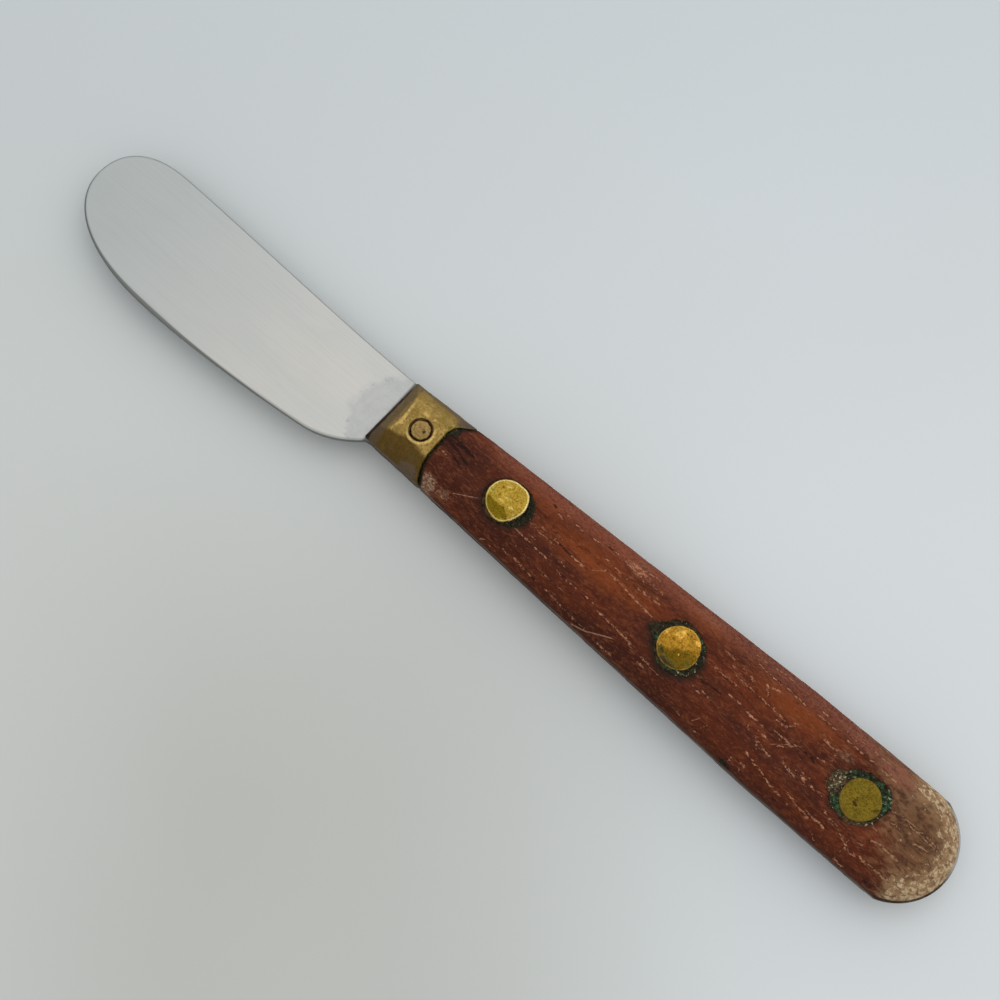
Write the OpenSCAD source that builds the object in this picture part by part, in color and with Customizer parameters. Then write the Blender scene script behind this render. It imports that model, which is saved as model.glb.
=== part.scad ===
// Butter knife with a sheet steel blade, riveted wooden handle scales and brass bolsters.
// +X runs to the blade's tip, +Y to the belly's edge, +Z up from the table that it lies on.
// The whole is drawn about the front of the bolsters, on the handle's centreline and in the middle
// of the sheet, and then moved so that the origin is on the table, under the middle of its box.

/* [Blade] */
// Length of the blade, from the front of the bolsters to the tip
blade_length = 60.9; // [45:0.1:90]
// How far the blade's back lies from the handle's centreline, where it is farthest
spine_reach = 7.35; // [6:0.05:10]
// How far the blade's belly lies from the handle's centreline, where it is farthest
belly_reach = 12.3; // [9:0.1:18]
// Thickness of the sheet at the bolsters and along the tang
sheet_t = 1.5; // [1:0.1:2.2]
// Thickness of the sheet at the tip
tip_t = 1; // [0.7:0.05:1.2]
// Thickness that the grinding leaves at the blade's rim
rim_t = 0.4; // [0.2:0.05:0.6]
// Width of the ground bevel along the belly
bevel_w = 0.95; // [0.4:0.05:1.6]
// Width of the eased corner along the back and round the tip
ease_w = 0.3; // [0.1:0.05:0.5]

/* [Handle] */
// Length of the handle, from the front of the bolsters to the butt
handle_length = 103.9; // [95:0.1:130]
// Width of the handle at the front of the bolsters
front_w = 11.4; // [9:0.1:14]
// Width of the handle at the butt's corners
butt_w = 17.3; // [15:0.1:20]
// How much wider the handle still grows behind its straight taper
swell_w = 0.3; // [0.1:0.05:0.6]
// Distance from the bolsters' front to the end of the straight taper
taper_l = 74; // [60:1:80]
// Thickness of the handle over both lands
handle_t = 8.6; // [7:0.1:11]
// Height of the flat wall that runs round the handle's edge, over both scales and the tang
wall_h = 2.9; // [2.3:0.1:4]
// Width of the rounded shoulders, from the wall to the land
shoulder_w = 4.1; // [2.5:0.1:5]
// How much larger the radius of the butt's round end is than half the butt's width
butt_flare = 0.55; // [0.1:0.05:2]
// Distance by which the worn wood stands back from the tang round the butt
butt_wear = 0.3; // [0.1:0.05:0.6]
// Height of the flat wall round the worn butt, over both scales and the tang
butt_wall_h = 2.3; // [1.8:0.1:4]

/* [Bolsters] */
// Length of a bolster on its land
bolster_top_l = 9.2; // [7:0.1:14]
// Length of a bolster against the tang
bolster_foot_l = 10.9; // [8:0.1:18]
// Length of the bevel that is filed on a bolster's front
nose_l = 2.6; // [1:0.1:4]
// Height of the bolster's upright front above the sheet
nose_h = 0.85; // [0.5:0.05:1.5]
// Angle by which the bolsters' front is out of square
nose_skew = 2.5; // [0:0.5:5]
// Gap that the shrunken wood has left behind a bolster
joint_gap = 0.2; // [0:0.05:0.4]
// Diameter of the bolsters' pin
bolster_pin_d = 3; // [2:0.1:4]
// Diameter of the sunk rim round the pin's peened end
pin_sink_d = 3.6; // [3.2:0.1:5]
// Depth of that sunk rim
pin_sink_h = 0.4; // [0.2:0.05:0.8]
// Place of the pin, behind the front of the bolsters
bolster_pin_x = 6.1; // [4.5:0.1:7]

/* [Rivets] */
// Place of the front rivet, behind the front of the bolsters
rivet_x = 22.5; // [18:0.1:26]
// Place of the rear rivet, in front of the butt
rear_rivet_x = 16.2; // [13:0.1:22]
// Diameter of a rivet's head
head_d = 6.35; // [5:0.05:7]
// Thickness of a rivet's head, up to the handle's land
head_t = 1.25; // [0.8:0.05:1.6]
// How far the pins' heads stand above the land, from the front rivet to the rear
head_proud = [0.12, 0.05, 0.1]; // [0:0.01:0.3]
// Height of the dome on those heads, from the front rivet to the rear
head_dome = [0, 0.35, 0]; // [0:0.05:0.6]
// Depth of the sleeves' heads below the land
head_sink = 0.05; // [0:0.05:0.2]
// Width of the bevel round a head
head_bevel = 0.2; // [0.1:0.05:0.4]
// Gap round a head in its recess
recess_gap = 0.65; // [0.2:0.05:1]
// Outer diameter of a sleeve's tube
tube_d = 3.2; // [2.8:0.1:3.8]
// Diameter of a pin's shank, which the tube grips
shank_d = 2.3; // [1.6:0.1:2.5]
// Gap that a pin's shank leaves at the bottom of its tube
tube_end_gap = 0.4; // [0.2:0.1:1]
// Clearance round a shank in its tube, and round the bolsters' pin
press_gap = 0.02; // [0.01:0.01:0.05]
// Clearance round a tube in the wood and the tang
tube_gap = 0.1; // [0.05:0.05:0.3]

/* [Hidden] */
$fn = 96;

half_t = handle_t / 2;
half_sheet = sheet_t / 2;
// Overrun of every cut, and the height that the cuts reach
over = handle_t / 4;
top_z = half_t + over;
// The steps of a curve, of the shoulders along the sides and of the one round the butt
curve_steps = 14;
side_steps = 8;
butt_steps = 7;
// Where the sheet turns from tang to blade, hidden between the bolsters
root_x = front_w / 2 * sin(nose_skew) + sheet_t;

// How round the shoulders are: 2 is an ellipse's quarter and 1 a flat bevel
shoulder_round_share = 1.4;

// The blade's outline: handles of its curves as shares of the blade's length and of its reach
spine_shares = [[0.27, 0.77], [0.56, 0.95], [0.82, 0.993]];
spine_tip_shares = [[0.92, 1.012], [1, 0.68], [1, -0.12]];
belly_tip_shares = [[1, 0.56], [0.89, 0.862], [0.755, 0.963]];
belly_shares = [[0.632, 1.056], [0.363, 0.987], [0.148, 0.854]];
heel_shares = [[0.092, 0.82], [0.039, 0.683], [0, 0.488]];
// Where the handle's side turns level behind its straight taper, as shares of the way from the taper's
// end to the butt's corner, and from the taper's width to the butt's
swell_share = [0.5, 0.85];

function mix(a, b, s) = a + (b - a) * s;
// A point on a cubic curve, and the whole curve without its last point
function curve_at(p, s) = pow(1 - s, 3) * p[0] + 3 * s * pow(1 - s, 2) * p[1]
    + 3 * s * s * (1 - s) * p[2] + pow(s, 3) * p[3];
function curve(p, n) = [for (i = [0:n - 1]) curve_at(p, i / n)];
function on_blade(shares, reach) = [for (q = shares) [q[0] * blade_length, q[1] * reach]];
function last(list) = list[len(list) - 1];
function outward(p, i) = let (a = p[max(i - 1, 0)], b = p[min(i + 1, len(p) - 1)],
    d = b - a) [d[1], -d[0]] / norm(d);

// The blade's outline, from the back's root round the tip to the heel
spine = concat([[0, -front_w / 2]], on_blade(spine_shares, -spine_reach));
spine_tip = concat([last(spine)], on_blade(spine_tip_shares, -spine_reach));
belly_tip = concat([last(spine_tip)], on_blade(belly_tip_shares, belly_reach));
belly = concat([last(belly_tip)], on_blade(belly_shares, belly_reach));
heel = concat([last(belly)], on_blade(heel_shares, belly_reach));
blade_outline = concat([[-root_x, -front_w / 2]], curve(spine, curve_steps),
    curve(spine_tip, curve_steps), curve(belly_tip, curve_steps), curve(belly, curve_steps),
    curve(heel, curve_steps), [last(heel), [-root_x, front_w / 2]]);

// The handle's side, as the corners of its flats from the front to the butt's corner
taper_w = butt_w - swell_w;
butt_r = butt_w / 2 + butt_flare;
butt_x = handle_length - butt_r;
butt_angle = asin(butt_w / 2 / butt_r);
corner_x = butt_x + butt_r * cos(butt_angle);
side = [[over, front_w / 2 - over * (taper_w - front_w) / 2 / taper_l],
    [-taper_l, taper_w / 2],
    [-mix(taper_l, corner_x, swell_share[0]), mix(taper_w, butt_w, swell_share[1]) / 2],
    [-corner_x, butt_w / 2]];
// The tang's outline, from the root on the belly's side round the butt
function flip(list) = [for (i = [len(list) - 1:-1:0]) [list[i][0], -list[i][1]]];
tang_side = [for (i = [1:len(side) - 2]) side[i]];
butt_arc = [for (i = [0:2 * curve_steps]) let (a = butt_angle * (1 - i / curve_steps))
    [-butt_x - butt_r * cos(a), butt_r * sin(a)]];
tang_outline = concat(tang_side, butt_arc, flip(tang_side));

// The part's place on the table
y_values = [for (p = concat(blade_outline, tang_outline)) p[1]];
to_table = [(handle_length - blade_length) / 2, -(max(y_values) + min(y_values)) / 2, half_t];

// The sheet that is both blade and tang. The blade thins to its tip and is bevelled to its rim; the
// tang keeps its thickness and the handle's own outline.
module sheet() {
    path = concat(blade_outline, tang_outline);
    n = len(path);
    m = len(blade_outline);
    function sheet_half(x) = mix(half_sheet, tip_t / 2, max(x + root_x, 0) / (blade_length + root_x));
    function bevel(i) = i > 0 && i < m - 1 ? mix(ease_w, bevel_w, pow(max(outward(path, i)[1], 0), 2)) : 0;
    function rim(sign) = [for (p = path) [p[0], p[1], sign * rim_t / 2]];
    function face(sign) = [for (i = [0:n - 1]) let (q = path[i] - outward(path, i) * bevel(i))
        [q[0], q[1], sign * sheet_half(q[0])]];
    // Each face of the sheet is two flat caps, the blade's and the tang's, which share the root's edge
    blade_cap = [for (i = [0:m - 1]) i];
    tang_cap = concat([0], [for (i = [m - 1:n - 1]) i]);
    walls = [for (k = [0:2], i = [0:n - 1]) let (a = k * n + i, b = k * n + (i + 1) % n)
        each [[a, a + n, b], [b, a + n, b + n]]];
    top_caps = [for (cap = [blade_cap, tang_cap]) [for (i = [len(cap) - 1:-1:0]) 3 * n + cap[i]]];
    polyhedron(concat(face(-1), rim(-1), rim(1), face(1)),
        concat([blade_cap, tang_cap], walls, top_caps), convexity = 6);
}

// The edge of one handle half in section, from a wall at a distance r from its middle: the upright
// wall, the rounded shoulder and the flat land, back to a distance r0 on the other side
power = 2 / shoulder_round_share;
function edge_section(r0, r, wall, steps) = concat([[r0, 0], [r, 0]],
    [for (k = [0:steps]) let (a = 90 * k / steps)
        [r - shoulder_w * (1 - pow(cos(a), power)), mix(wall / 2, half_t, pow(sin(a), power))]],
    [[r0, half_t]]);

// One half of the handle, from the middle of the sheet up. Its edge section runs along each flat of
// both sides and round the butt. The bolster and the scale are both cut from it, and meet flush.
module side_room(a, b) {
    run = norm(b - a);
    turn = atan2(a[1] - b[1], a[0] - b[0]);
    translate(b) rotate([0, 0, turn]) translate([-handle_length, 0, 0]) rotate([90, 0, 90])
        linear_extrude(height = 2 * handle_length + run)
            polygon(edge_section(-2 * butt_w, 0, wall_h, side_steps));
}
module butt_room() {
    translate([-butt_x, 0, 0]) rotate_extrude()
        polygon(edge_section(0, butt_r - butt_wear, butt_wall_h, butt_steps));
}
module handle_half() {
    difference() {
        intersection_for (i = [0:len(side) - 2], turned = [0, 1])
            mirror([0, turned, 0]) side_room(side[i], side[i + 1]);
        difference() {
            translate([-butt_x - 2 * handle_length, -butt_w, -over])
                cube([2 * handle_length, 2 * butt_w, top_z + over]);
            butt_room();
        }
    }
}

// Side views of the room that a bolster and a scale have, swept across the handle
module across(side_view) {
    rotate([90, 0, 0]) linear_extrude(height = 2 * butt_w, center = true) polygon(side_view);
}
joint_slope = (bolster_foot_l - bolster_top_l) / (half_t - half_sheet);
function joint_x(z) = -bolster_foot_l + joint_slope * (z - half_sheet);
nose_slope = nose_l / (half_t - half_sheet - nose_h);
module bolster_room() {
    low_x = -bolster_foot_l - over;
    across([[0, half_sheet], [0, half_sheet + nose_h],
            [-nose_slope * (top_z - half_sheet - nose_h), top_z], [low_x, top_z], [low_x, half_sheet]]);
}
module bolster_back_room() {
    across([[over, 0], [over, top_z], [joint_x(top_z), top_z], [joint_x(0), 0]]);
}
module scale_room() {
    end_x = -handle_length - over;
    across([[joint_x(half_sheet) - joint_gap, half_sheet], [joint_x(top_z) - joint_gap, top_z],
            [end_x, top_z], [end_x, half_sheet]]);
}

// A round hole along Z, from one height to another
module hole(x, d, z0, z1) {
    translate([-x, 0, z0]) cylinder(h = z1 - z0, d = d);
}
// A stepped hole from the middle of the sheet up: a bore, and above a height a wider one
module stepped_hole(x, d, z, wide_d) {
    translate([-x, 0, 0]) rotate_extrude()
        polygon([[0, 0], [d / 2, 0], [d / 2, z], [wide_d / 2, z], [wide_d / 2, top_z], [0, top_z]]);
}
function rivet_place(i) = mix(rivet_x, handle_length - rear_rivet_x, i / 2);
recess_floor = half_t - head_t;
recess_d = head_d + 2 * recess_gap;
pin_hole_d = bolster_pin_d + 2 * press_gap;

module blade() {
    color([0.76, 0.77, 0.76]) translate(to_table) difference() {
        sheet();
        hole(bolster_pin_x, pin_hole_d, -sheet_t, sheet_t);
        for (i = [0:2]) hole(rivet_place(i), tube_d + 2 * tube_gap, -sheet_t, sheet_t);
    }
}

module bolster() {
    difference() {
        intersection() {
            handle_half();
            rotate([0, 0, -nose_skew]) bolster_room();
            bolster_back_room();
        }
        stepped_hole(bolster_pin_x, pin_hole_d, half_t - pin_sink_h, pin_sink_d);
    }
}
module upper_bolster() {
    color([0.62, 0.5, 0.2]) translate(to_table) bolster();
}
module lower_bolster() {
    color([0.58, 0.46, 0.19]) translate(to_table) mirror([0, 0, 1]) bolster();
}

module bolster_pin() {
    color([0.66, 0.54, 0.27]) translate(to_table)
        hole(bolster_pin_x, bolster_pin_d, -half_t, half_t);
}

module scale_piece() {
    difference() {
        intersection() {
            handle_half();
            scale_room();
        }
        for (i = [0:2])
            stepped_hole(rivet_place(i), tube_d + 2 * tube_gap, recess_floor, recess_d);
    }
}
module upper_scale() {
    color([0.42, 0.2, 0.13]) translate(to_table) scale_piece();
}
module lower_scale() {
    color([0.38, 0.18, 0.12]) translate(to_table) mirror([0, 0, 1]) scale_piece();
}

// A rivet's head: a bevelled disc, domed by a ball where a dome is wanted
module head(h, dome) {
    r = head_d / 2;
    cylinder(h = h - head_bevel, r = r);
    translate([0, 0, h - head_bevel]) cylinder(h = head_bevel, r1 = r, r2 = r - head_bevel);
    if (dome > 0) {
        rim = r - head_bevel;
        ball = (rim * rim + dome * dome) / (2 * dome);
        translate([0, 0, h]) intersection() {
            translate([0, 0, dome - ball]) sphere(r = ball);
            cylinder(h = dome, r = rim);
        }
    }
}
// A sleeve: a head below and a tube that reaches up through the handle to the pin's head
tube_l = 2 * recess_floor - tube_end_gap;
module rivet_sleeve(i) {
    translate(to_table) translate([-rivet_place(i), 0, 0]) difference() {
        union() {
            translate([0, 0, -recess_floor]) mirror([0, 0, 1]) head(head_t - head_sink, 0);
            translate([0, 0, -recess_floor]) cylinder(h = tube_l, d = tube_d);
        }
        translate([0, 0, -recess_floor]) cylinder(h = tube_l + over, d = shank_d + 2 * press_gap);
    }
}
// A pin: a head above and a shank that is driven into the sleeve's tube
module rivet_pin(i) {
    translate(to_table) translate([-rivet_place(i), 0, 0]) {
        translate([0, 0, recess_floor]) head(head_t + head_proud[i], head_dome[i]);
        translate([0, 0, tube_end_gap - recess_floor])
            cylinder(h = 2 * recess_floor - tube_end_gap, d = shank_d);
    }
}
module front_rivet_pin() { color([0.74, 0.58, 0.22]) rivet_pin(0); }
module middle_rivet_pin() { color([0.76, 0.57, 0.2]) rivet_pin(1); }
module rear_rivet_pin() { color([0.6, 0.5, 0.24]) rivet_pin(2); }
module front_rivet_sleeve() { color([0.66, 0.52, 0.22]) rivet_sleeve(0); }
module middle_rivet_sleeve() { color([0.66, 0.52, 0.22]) rivet_sleeve(1); }
module rear_rivet_sleeve() { color([0.66, 0.52, 0.22]) rivet_sleeve(2); }

blade();
upper_bolster();
lower_bolster();
bolster_pin();
upper_scale();
lower_scale();
front_rivet_pin();
front_rivet_sleeve();
middle_rivet_pin();
middle_rivet_sleeve();
rear_rivet_pin();
rear_rivet_sleeve();
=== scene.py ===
# %% [markdown]
# # An old butter knife
# A short spreader: one steel sheet that is both blade and tang, two brass bolsters, two wooden
# scales and three brass rivets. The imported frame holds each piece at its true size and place, so it
# is loaded first, and every piece that is modelled here is laid over its solid in that frame.

# %% Load the frame
import math

import bmesh
import bpy
import numpy as np
from mathutils import Matrix, Vector, noise
from mathutils.geometry import interpolate_bezier


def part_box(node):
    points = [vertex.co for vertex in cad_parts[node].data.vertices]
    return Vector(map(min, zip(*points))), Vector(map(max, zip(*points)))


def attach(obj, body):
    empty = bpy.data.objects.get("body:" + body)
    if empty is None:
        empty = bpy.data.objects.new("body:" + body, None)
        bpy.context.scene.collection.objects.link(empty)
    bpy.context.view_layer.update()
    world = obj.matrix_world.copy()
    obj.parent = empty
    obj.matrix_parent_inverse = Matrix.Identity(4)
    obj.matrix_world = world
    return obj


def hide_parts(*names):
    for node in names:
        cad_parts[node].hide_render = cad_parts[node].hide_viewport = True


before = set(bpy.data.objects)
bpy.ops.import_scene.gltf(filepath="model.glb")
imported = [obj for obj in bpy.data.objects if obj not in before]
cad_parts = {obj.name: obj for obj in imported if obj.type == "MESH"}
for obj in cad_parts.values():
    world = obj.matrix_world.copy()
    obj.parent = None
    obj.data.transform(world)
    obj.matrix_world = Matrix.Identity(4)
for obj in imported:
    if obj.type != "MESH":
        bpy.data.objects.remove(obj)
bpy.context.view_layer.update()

# %% [markdown]
# ## The knife's own measures
# A cutler measures from the front of the bolsters, along the middle of the sheet. All the sizes
# below are in millimetres in that system: x runs to the tip, y to the cutting edge and z upwards.
# One function carries a finished shape from there into the frame.

# %% The knife's origin
MM = 0.001
handle_length = 103.9
sheet_low, sheet_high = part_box("blade")
wood_low, wood_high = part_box("upper_scale")
knife_origin = Vector((sheet_low.x + handle_length * MM, (wood_low.y + wood_high.y) / 2,
                       (sheet_low.z + sheet_high.z) / 2))


def in_frame(x, y, z=0.0):
    return knife_origin + Vector((x, y, z)) * MM


print("knife origin", [round(c, 5) for c in knife_origin])

# %% [markdown]
# ## Camera
# The photograph looks down on the knife from a step back, tilted by 14 degrees. The camera is
# aimed at the point of the sheet in the middle of the picture and stands the fitted distance away.

# %% Camera
tilt = math.radians(14)
camera_reach = 222.3 * MM
aim = in_frame(-21.16, -0.41)
picture_right = Vector((-0.7548, -0.6560, 0)).normalized()
picture_up = Vector((0.6560, -0.7548, 0)).normalized()
sight = picture_up * math.sin(tilt) + Vector((0, 0, -math.cos(tilt)))
camera_up = picture_right.cross(sight)
lens = bpy.data.cameras.new("bench_camera")
lens.sensor_width = 36
lens.lens = 54
lens.clip_start = 0.01


def link_piece(name, data):
    piece = bpy.data.objects.new(name, data)
    bpy.context.scene.collection.objects.link(piece)
    return piece


camera = link_piece("bench_camera", lens)
camera.matrix_world = Matrix.Translation(aim - sight * camera_reach) @ Matrix(
    (picture_right, camera_up, -sight)).transposed().to_4x4()
bpy.context.scene.camera = camera
print("camera at", [round(c, 4) for c in camera.matrix_world.translation])

# %% [markdown]
# ## Helpers for finishes
# A finish is a small net of nodes. Each helper adds one node, and a value stands for what a node
# gives at each place, so that the finishes further down read as recipes: measure the place, make a
# grain, shape it into a soft step, multiply and add, and lay thin coats of colour by the result.

# %% Values and nodes
class Value:
    """What a socket gives at each place. Sums, products and steps of values add nodes."""

    def __init__(self, socket):
        self.socket = socket
        self.tree = socket.id_data

    def math(self, operation, *others):
        return add_node(self.tree, "Math", "Value", (self, *others), operation=operation)

    def __add__(self, other):
        return self.math("ADD", other)

    def __sub__(self, other):
        return self.math("SUBTRACT", other)

    def __mul__(self, other):
        return self.math("MULTIPLY", other)

    def __abs__(self):
        return self.math("ABSOLUTE")

    def step(self, low, high, least=0.0, most=1.0):
        """A smooth step from least, where the value is low, to most, where it is high."""
        return add_node(self.tree, "MapRange", "Result", (self, low, high, least, most),
                        interpolation_type="SMOOTHSTEP")


def wire(socket, value):
    """Link a value to a socket, or set the socket to a plain number or colour."""
    if isinstance(value, Value):
        value.tree.links.new(value.socket, socket)
    else:
        socket.default_value = value


def add_node(tree, kind, output, inputs=(), **settings):
    """Add a node, set it up, feed its inputs by number or name and return one of its outputs."""
    node = tree.nodes.new("ShaderNode" + kind)
    for name, setting in settings.items():
        setattr(node, name, setting)
    for key, value in inputs.items() if isinstance(inputs, dict) else enumerate(inputs):
        wire(node.inputs[key], value)
    return Value(node.outputs[output])


# %% Helpers for finishes
def new_finish(name):
    """A new material, the places on it in the knife's own millimetres, and its shader's inputs."""
    finish = bpy.data.materials.new(name)
    finish.use_nodes = True
    tree = finish.node_tree
    places = add_node(tree, "Mapping", "Vector", {
        "Vector": add_node(tree, "TexCoord", "Object"), "Location": -knife_origin / MM,
        "Scale": (1 / MM, 1 / MM, 1 / MM)})
    return finish, places, tree.nodes["Principled BSDF"].inputs


def turned(places, angle=0.0, stretch=(1, 1, 1), shift=(0, 0, 0)):
    return add_node(places.tree, "Mapping", "Vector", {
        "Vector": places, "Location": shift, "Rotation": (0, 0, math.radians(angle)),
        "Scale": stretch})


def grain(places, scale, detail=2.0, rough=0.5, twist=0.0):
    return add_node(places.tree, "TexNoise", "Fac", {
        "Vector": places, "Scale": scale, "Detail": detail, "Roughness": rough,
        "Distortion": twist})


def along(places, way):
    """How far a place lies along a direction."""
    return add_node(places.tree, "VectorMath", "Value", (places, way), operation="DOT_PRODUCT")


# %% Colours and relief
def tone(colour):
    """A colour for a socket: a value as it is, or red, green and blue from 0 to 255 made linear."""
    if isinstance(colour, Value):
        return colour
    shares = [part / 255 for part in colour]
    return (*[s / 12.92 if s <= 0.04045 else ((s + 0.055) / 1.055) ** 2.4 for s in shares], 1.0)


def lay(share, under, over):
    """Mix two colours: a share of the second one over the first."""
    return add_node(share.tree, "Mix", 2, {0: share, 6: tone(under), 7: tone(over)},
                    data_type="RGBA")


def coats(colour, *layers):
    """Lay thin coats over a colour, one after the other. Each has a share and a tone."""
    for share, over in layers:
        colour = lay(share, colour, over)
    return colour


def dress(shader, colour, roughness, metallic=0.0, specular=0.5):
    """Feed a shader its colour, roughness, metal share and specular level."""
    wire(shader["Base Color"], colour)
    wire(shader["Roughness"], roughness)
    wire(shader["Metallic"], metallic)
    wire(shader["Specular IOR Level"], specular)


def relief(shader, height, depth, strength):
    """Bump from a height that is given as a share of a depth in millimetres."""
    wire(shader["Normal"], add_node(height.tree, "Bump", "Normal", {
        "Strength": strength, "Distance": depth * MM, "Height": height}))


# %% [markdown]
# ## Table and light
# The knife lies on a pale, faintly blue-grey table under soft light. The table is a large flat
# sheet, and its colour carries painted light: lighter to the right, darker and bluer towards the
# top, with a painted shadow at the lower left. A big lamp stands off to the upper right of the
# picture and a wide one hangs overhead, and the world fills the rest, so that the shadow beside the
# handle stays soft.

# %% Table
def mesh_from(bm, name):
    """A mesh that takes over a finished shape."""
    mesh = bpy.data.meshes.new(name)
    bm.to_mesh(mesh)
    bm.free()
    return mesh


bm = bmesh.new()
bmesh.ops.create_grid(bm, x_segments=24, y_segments=24, size=1.2)
table = link_piece("table_top", mesh_from(bm, "table_top"))

table_finish, places, shader = new_finish("pale_table")
cloud = grain(turned(places, 0, (0.01, 0.01, 0.01)), 1.3, 2, 0.4)
to_right = along(places, picture_right)
to_top = along(places, picture_up)
# Painted light on the table: lighter to the right, darker and bluer towards the top, and a painted
# shadow at the lower left.
shaded_lower_left = to_top.step(25, -60) * to_right.step(60, 0) * to_right.step(-80, -25, 0.2, 1.1)
shade = coats(lay(to_right.step(-95, 70), (190, 192, 189), (203, 207, 209)),
              (to_top.step(-20, 90, 0, 0.6), (182, 190, 194)),
              (shaded_lower_left * 0.85, (175, 176, 170)),
              (cloud.step(0.35, 0.65, 0, 0.2), (192, 195, 195)))
dress(shader, shade, 0.75, specular=0.2)
table.data.materials.append(table_finish)
print("table", [round(side, 2) for side in table.dimensions], "m")


# %% Lamps and world
def hang_lamp(name, right, up, height, watts, colour):
    """A soft square lamp that looks at the middle of the knife, in metres from there."""
    lamp = bpy.data.lights.new(name, "AREA")
    lamp.shape = "SQUARE"
    lamp.size = 1.2
    lamp.energy = watts
    lamp.color = colour
    holder = link_piece(name, lamp)
    away = picture_right * right + picture_up * up + Vector((0, 0, height))
    holder.location = in_frame(-21, 0) + away
    holder.rotation_euler = away.to_track_quat("Z", "Y").to_euler()


hang_lamp("window_side", 0.55, 0.35, 0.6, 1.85, (1.0, 0.985, 0.96))
hang_lamp("overhead", -0.05, 0.1, 0.8, 0.9, (1.0, 0.99, 0.97))
world = bpy.data.worlds.new("room")
world.use_nodes = True
window_way = (picture_right * 0.7 + picture_up * 0.5 + Vector((0, 0, 0.6))).normalized()
facing = along(add_node(world.node_tree, "TexCoord", "Generated"), window_way)
sky = world.node_tree.nodes["Background"].inputs
wire(sky["Color"], (0.97, 0.99, 1.0, 1))
wire(sky["Strength"], facing.step(-0.8, 0.9, 0.77, 0.99))
bpy.context.scene.world = world
bpy.context.scene.view_settings.view_transform = "Standard"
print("lamps:", len(bpy.data.lights))

# %% [markdown]
# ## The blade and its tang
# The real blade is stamped from one sheet that runs back between the scales to the butt. Its faces
# are ground thinner to the tip and a narrow bevel is ground along the edge. It could be carved from
# a block, but a cutler starts from the outline, and so does this piece: five smooth curves draw the
# blade, straight lines draw the tang, and the flat shape is then extruded, inset and mirrored.

# %% Outline of the sheet
blade_length = 60.9
spine_reach = 7.35
belly_reach = 12.3
front_width = 11.4
root_x = -1.75
tang_side = [(-74, 8.5), (-85.91, 8.627)]
butt_corner_y = 8.65
butt_radius = 9.2
curve_points = 26
butt_steps = 36

# The blade's curves from the bolster round the tip and back, as shares of its length and reach.
spine_bows = [(0.27, 0.77), (0.56, 0.95), (0.82, 0.993), (0.92, 1.012), (1, 0.68), (1, -0.12)]
belly_bows = [(1, 0.56), (0.89, 0.862), (0.755, 0.963), (0.632, 1.056), (0.363, 0.987),
              (0.148, 0.854), (0.092, 0.82), (0.039, 0.683), (0, 0.488)]
bows = [Vector((along_x * blade_length, aside * -spine_reach, 0)) for along_x, aside in spine_bows]
bows += [Vector((along_x * blade_length, aside * belly_reach, 0)) for along_x, aside in belly_bows]
outline = [Vector((root_x, -front_width / 2, 0))]
start = Vector((0, -front_width / 2, 0))
for pull, push, end in zip(bows[::3], bows[1::3], bows[2::3]):
    outline += interpolate_bezier(start, pull, push, end, curve_points)[:-1]
    start = end
outline += [start, Vector((root_x, front_width / 2, 0))]
outline += [Vector((x, y, 0)) for x, y in tang_side]
butt_turn = math.asin(butt_corner_y / butt_radius)
for step in range(butt_steps + 1):
    angle = butt_turn * (1 - 2 * step / butt_steps)
    outline.append(Vector((butt_radius - handle_length - butt_radius * math.cos(angle),
                           butt_radius * math.sin(angle), 0)))
outline += [Vector((x, -y, 0)) for x, y in tang_side[::-1]]
print("outline of the sheet:", len(outline), "points")

# %% Helpers for the sheet
root_half, tip_half, rim_half, ease = 0.75, 0.5, 0.3, 0.28
thinning = (root_half - tip_half) / (blade_length - root_x)
bevel_line = 0.12


def bevel_growth(place):
    """How much wider the ground bevel is than the eased rim: most along the front of the belly."""
    if place.x < root_x - 0.1:
        return 0.15
    if place.x < 1 or place.y < 1:
        return 1.0
    forward = math.exp(-((place.x - 41) / 10) ** 2)
    return 1.25 + 1.6 * forward * min(place.y / 9, 1)


def flat_height(x):
    """Half the sheet's thickness: even along the tang, and ground thinner to the tip."""
    return root_half - thinning * max(x - root_x, 0)


def seat(bm, name, finish, node=None):
    """Carry a shape from the knife's millimetres into the frame and make it a riding piece."""
    bmesh.ops.recalc_face_normals(bm, faces=bm.faces)
    bmesh.ops.transform(bm, verts=bm.verts,
                        matrix=Matrix.Translation(knife_origin) @ Matrix.Scale(MM, 4))
    mesh = mesh_from(bm, name)
    mesh.shade_smooth()
    mesh.materials.append(finish)
    piece = link_piece(name, mesh)
    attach(piece, "root")
    if node:
        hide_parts(node)
    print(name, len(mesh.polygons), "faces")
    return piece


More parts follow.
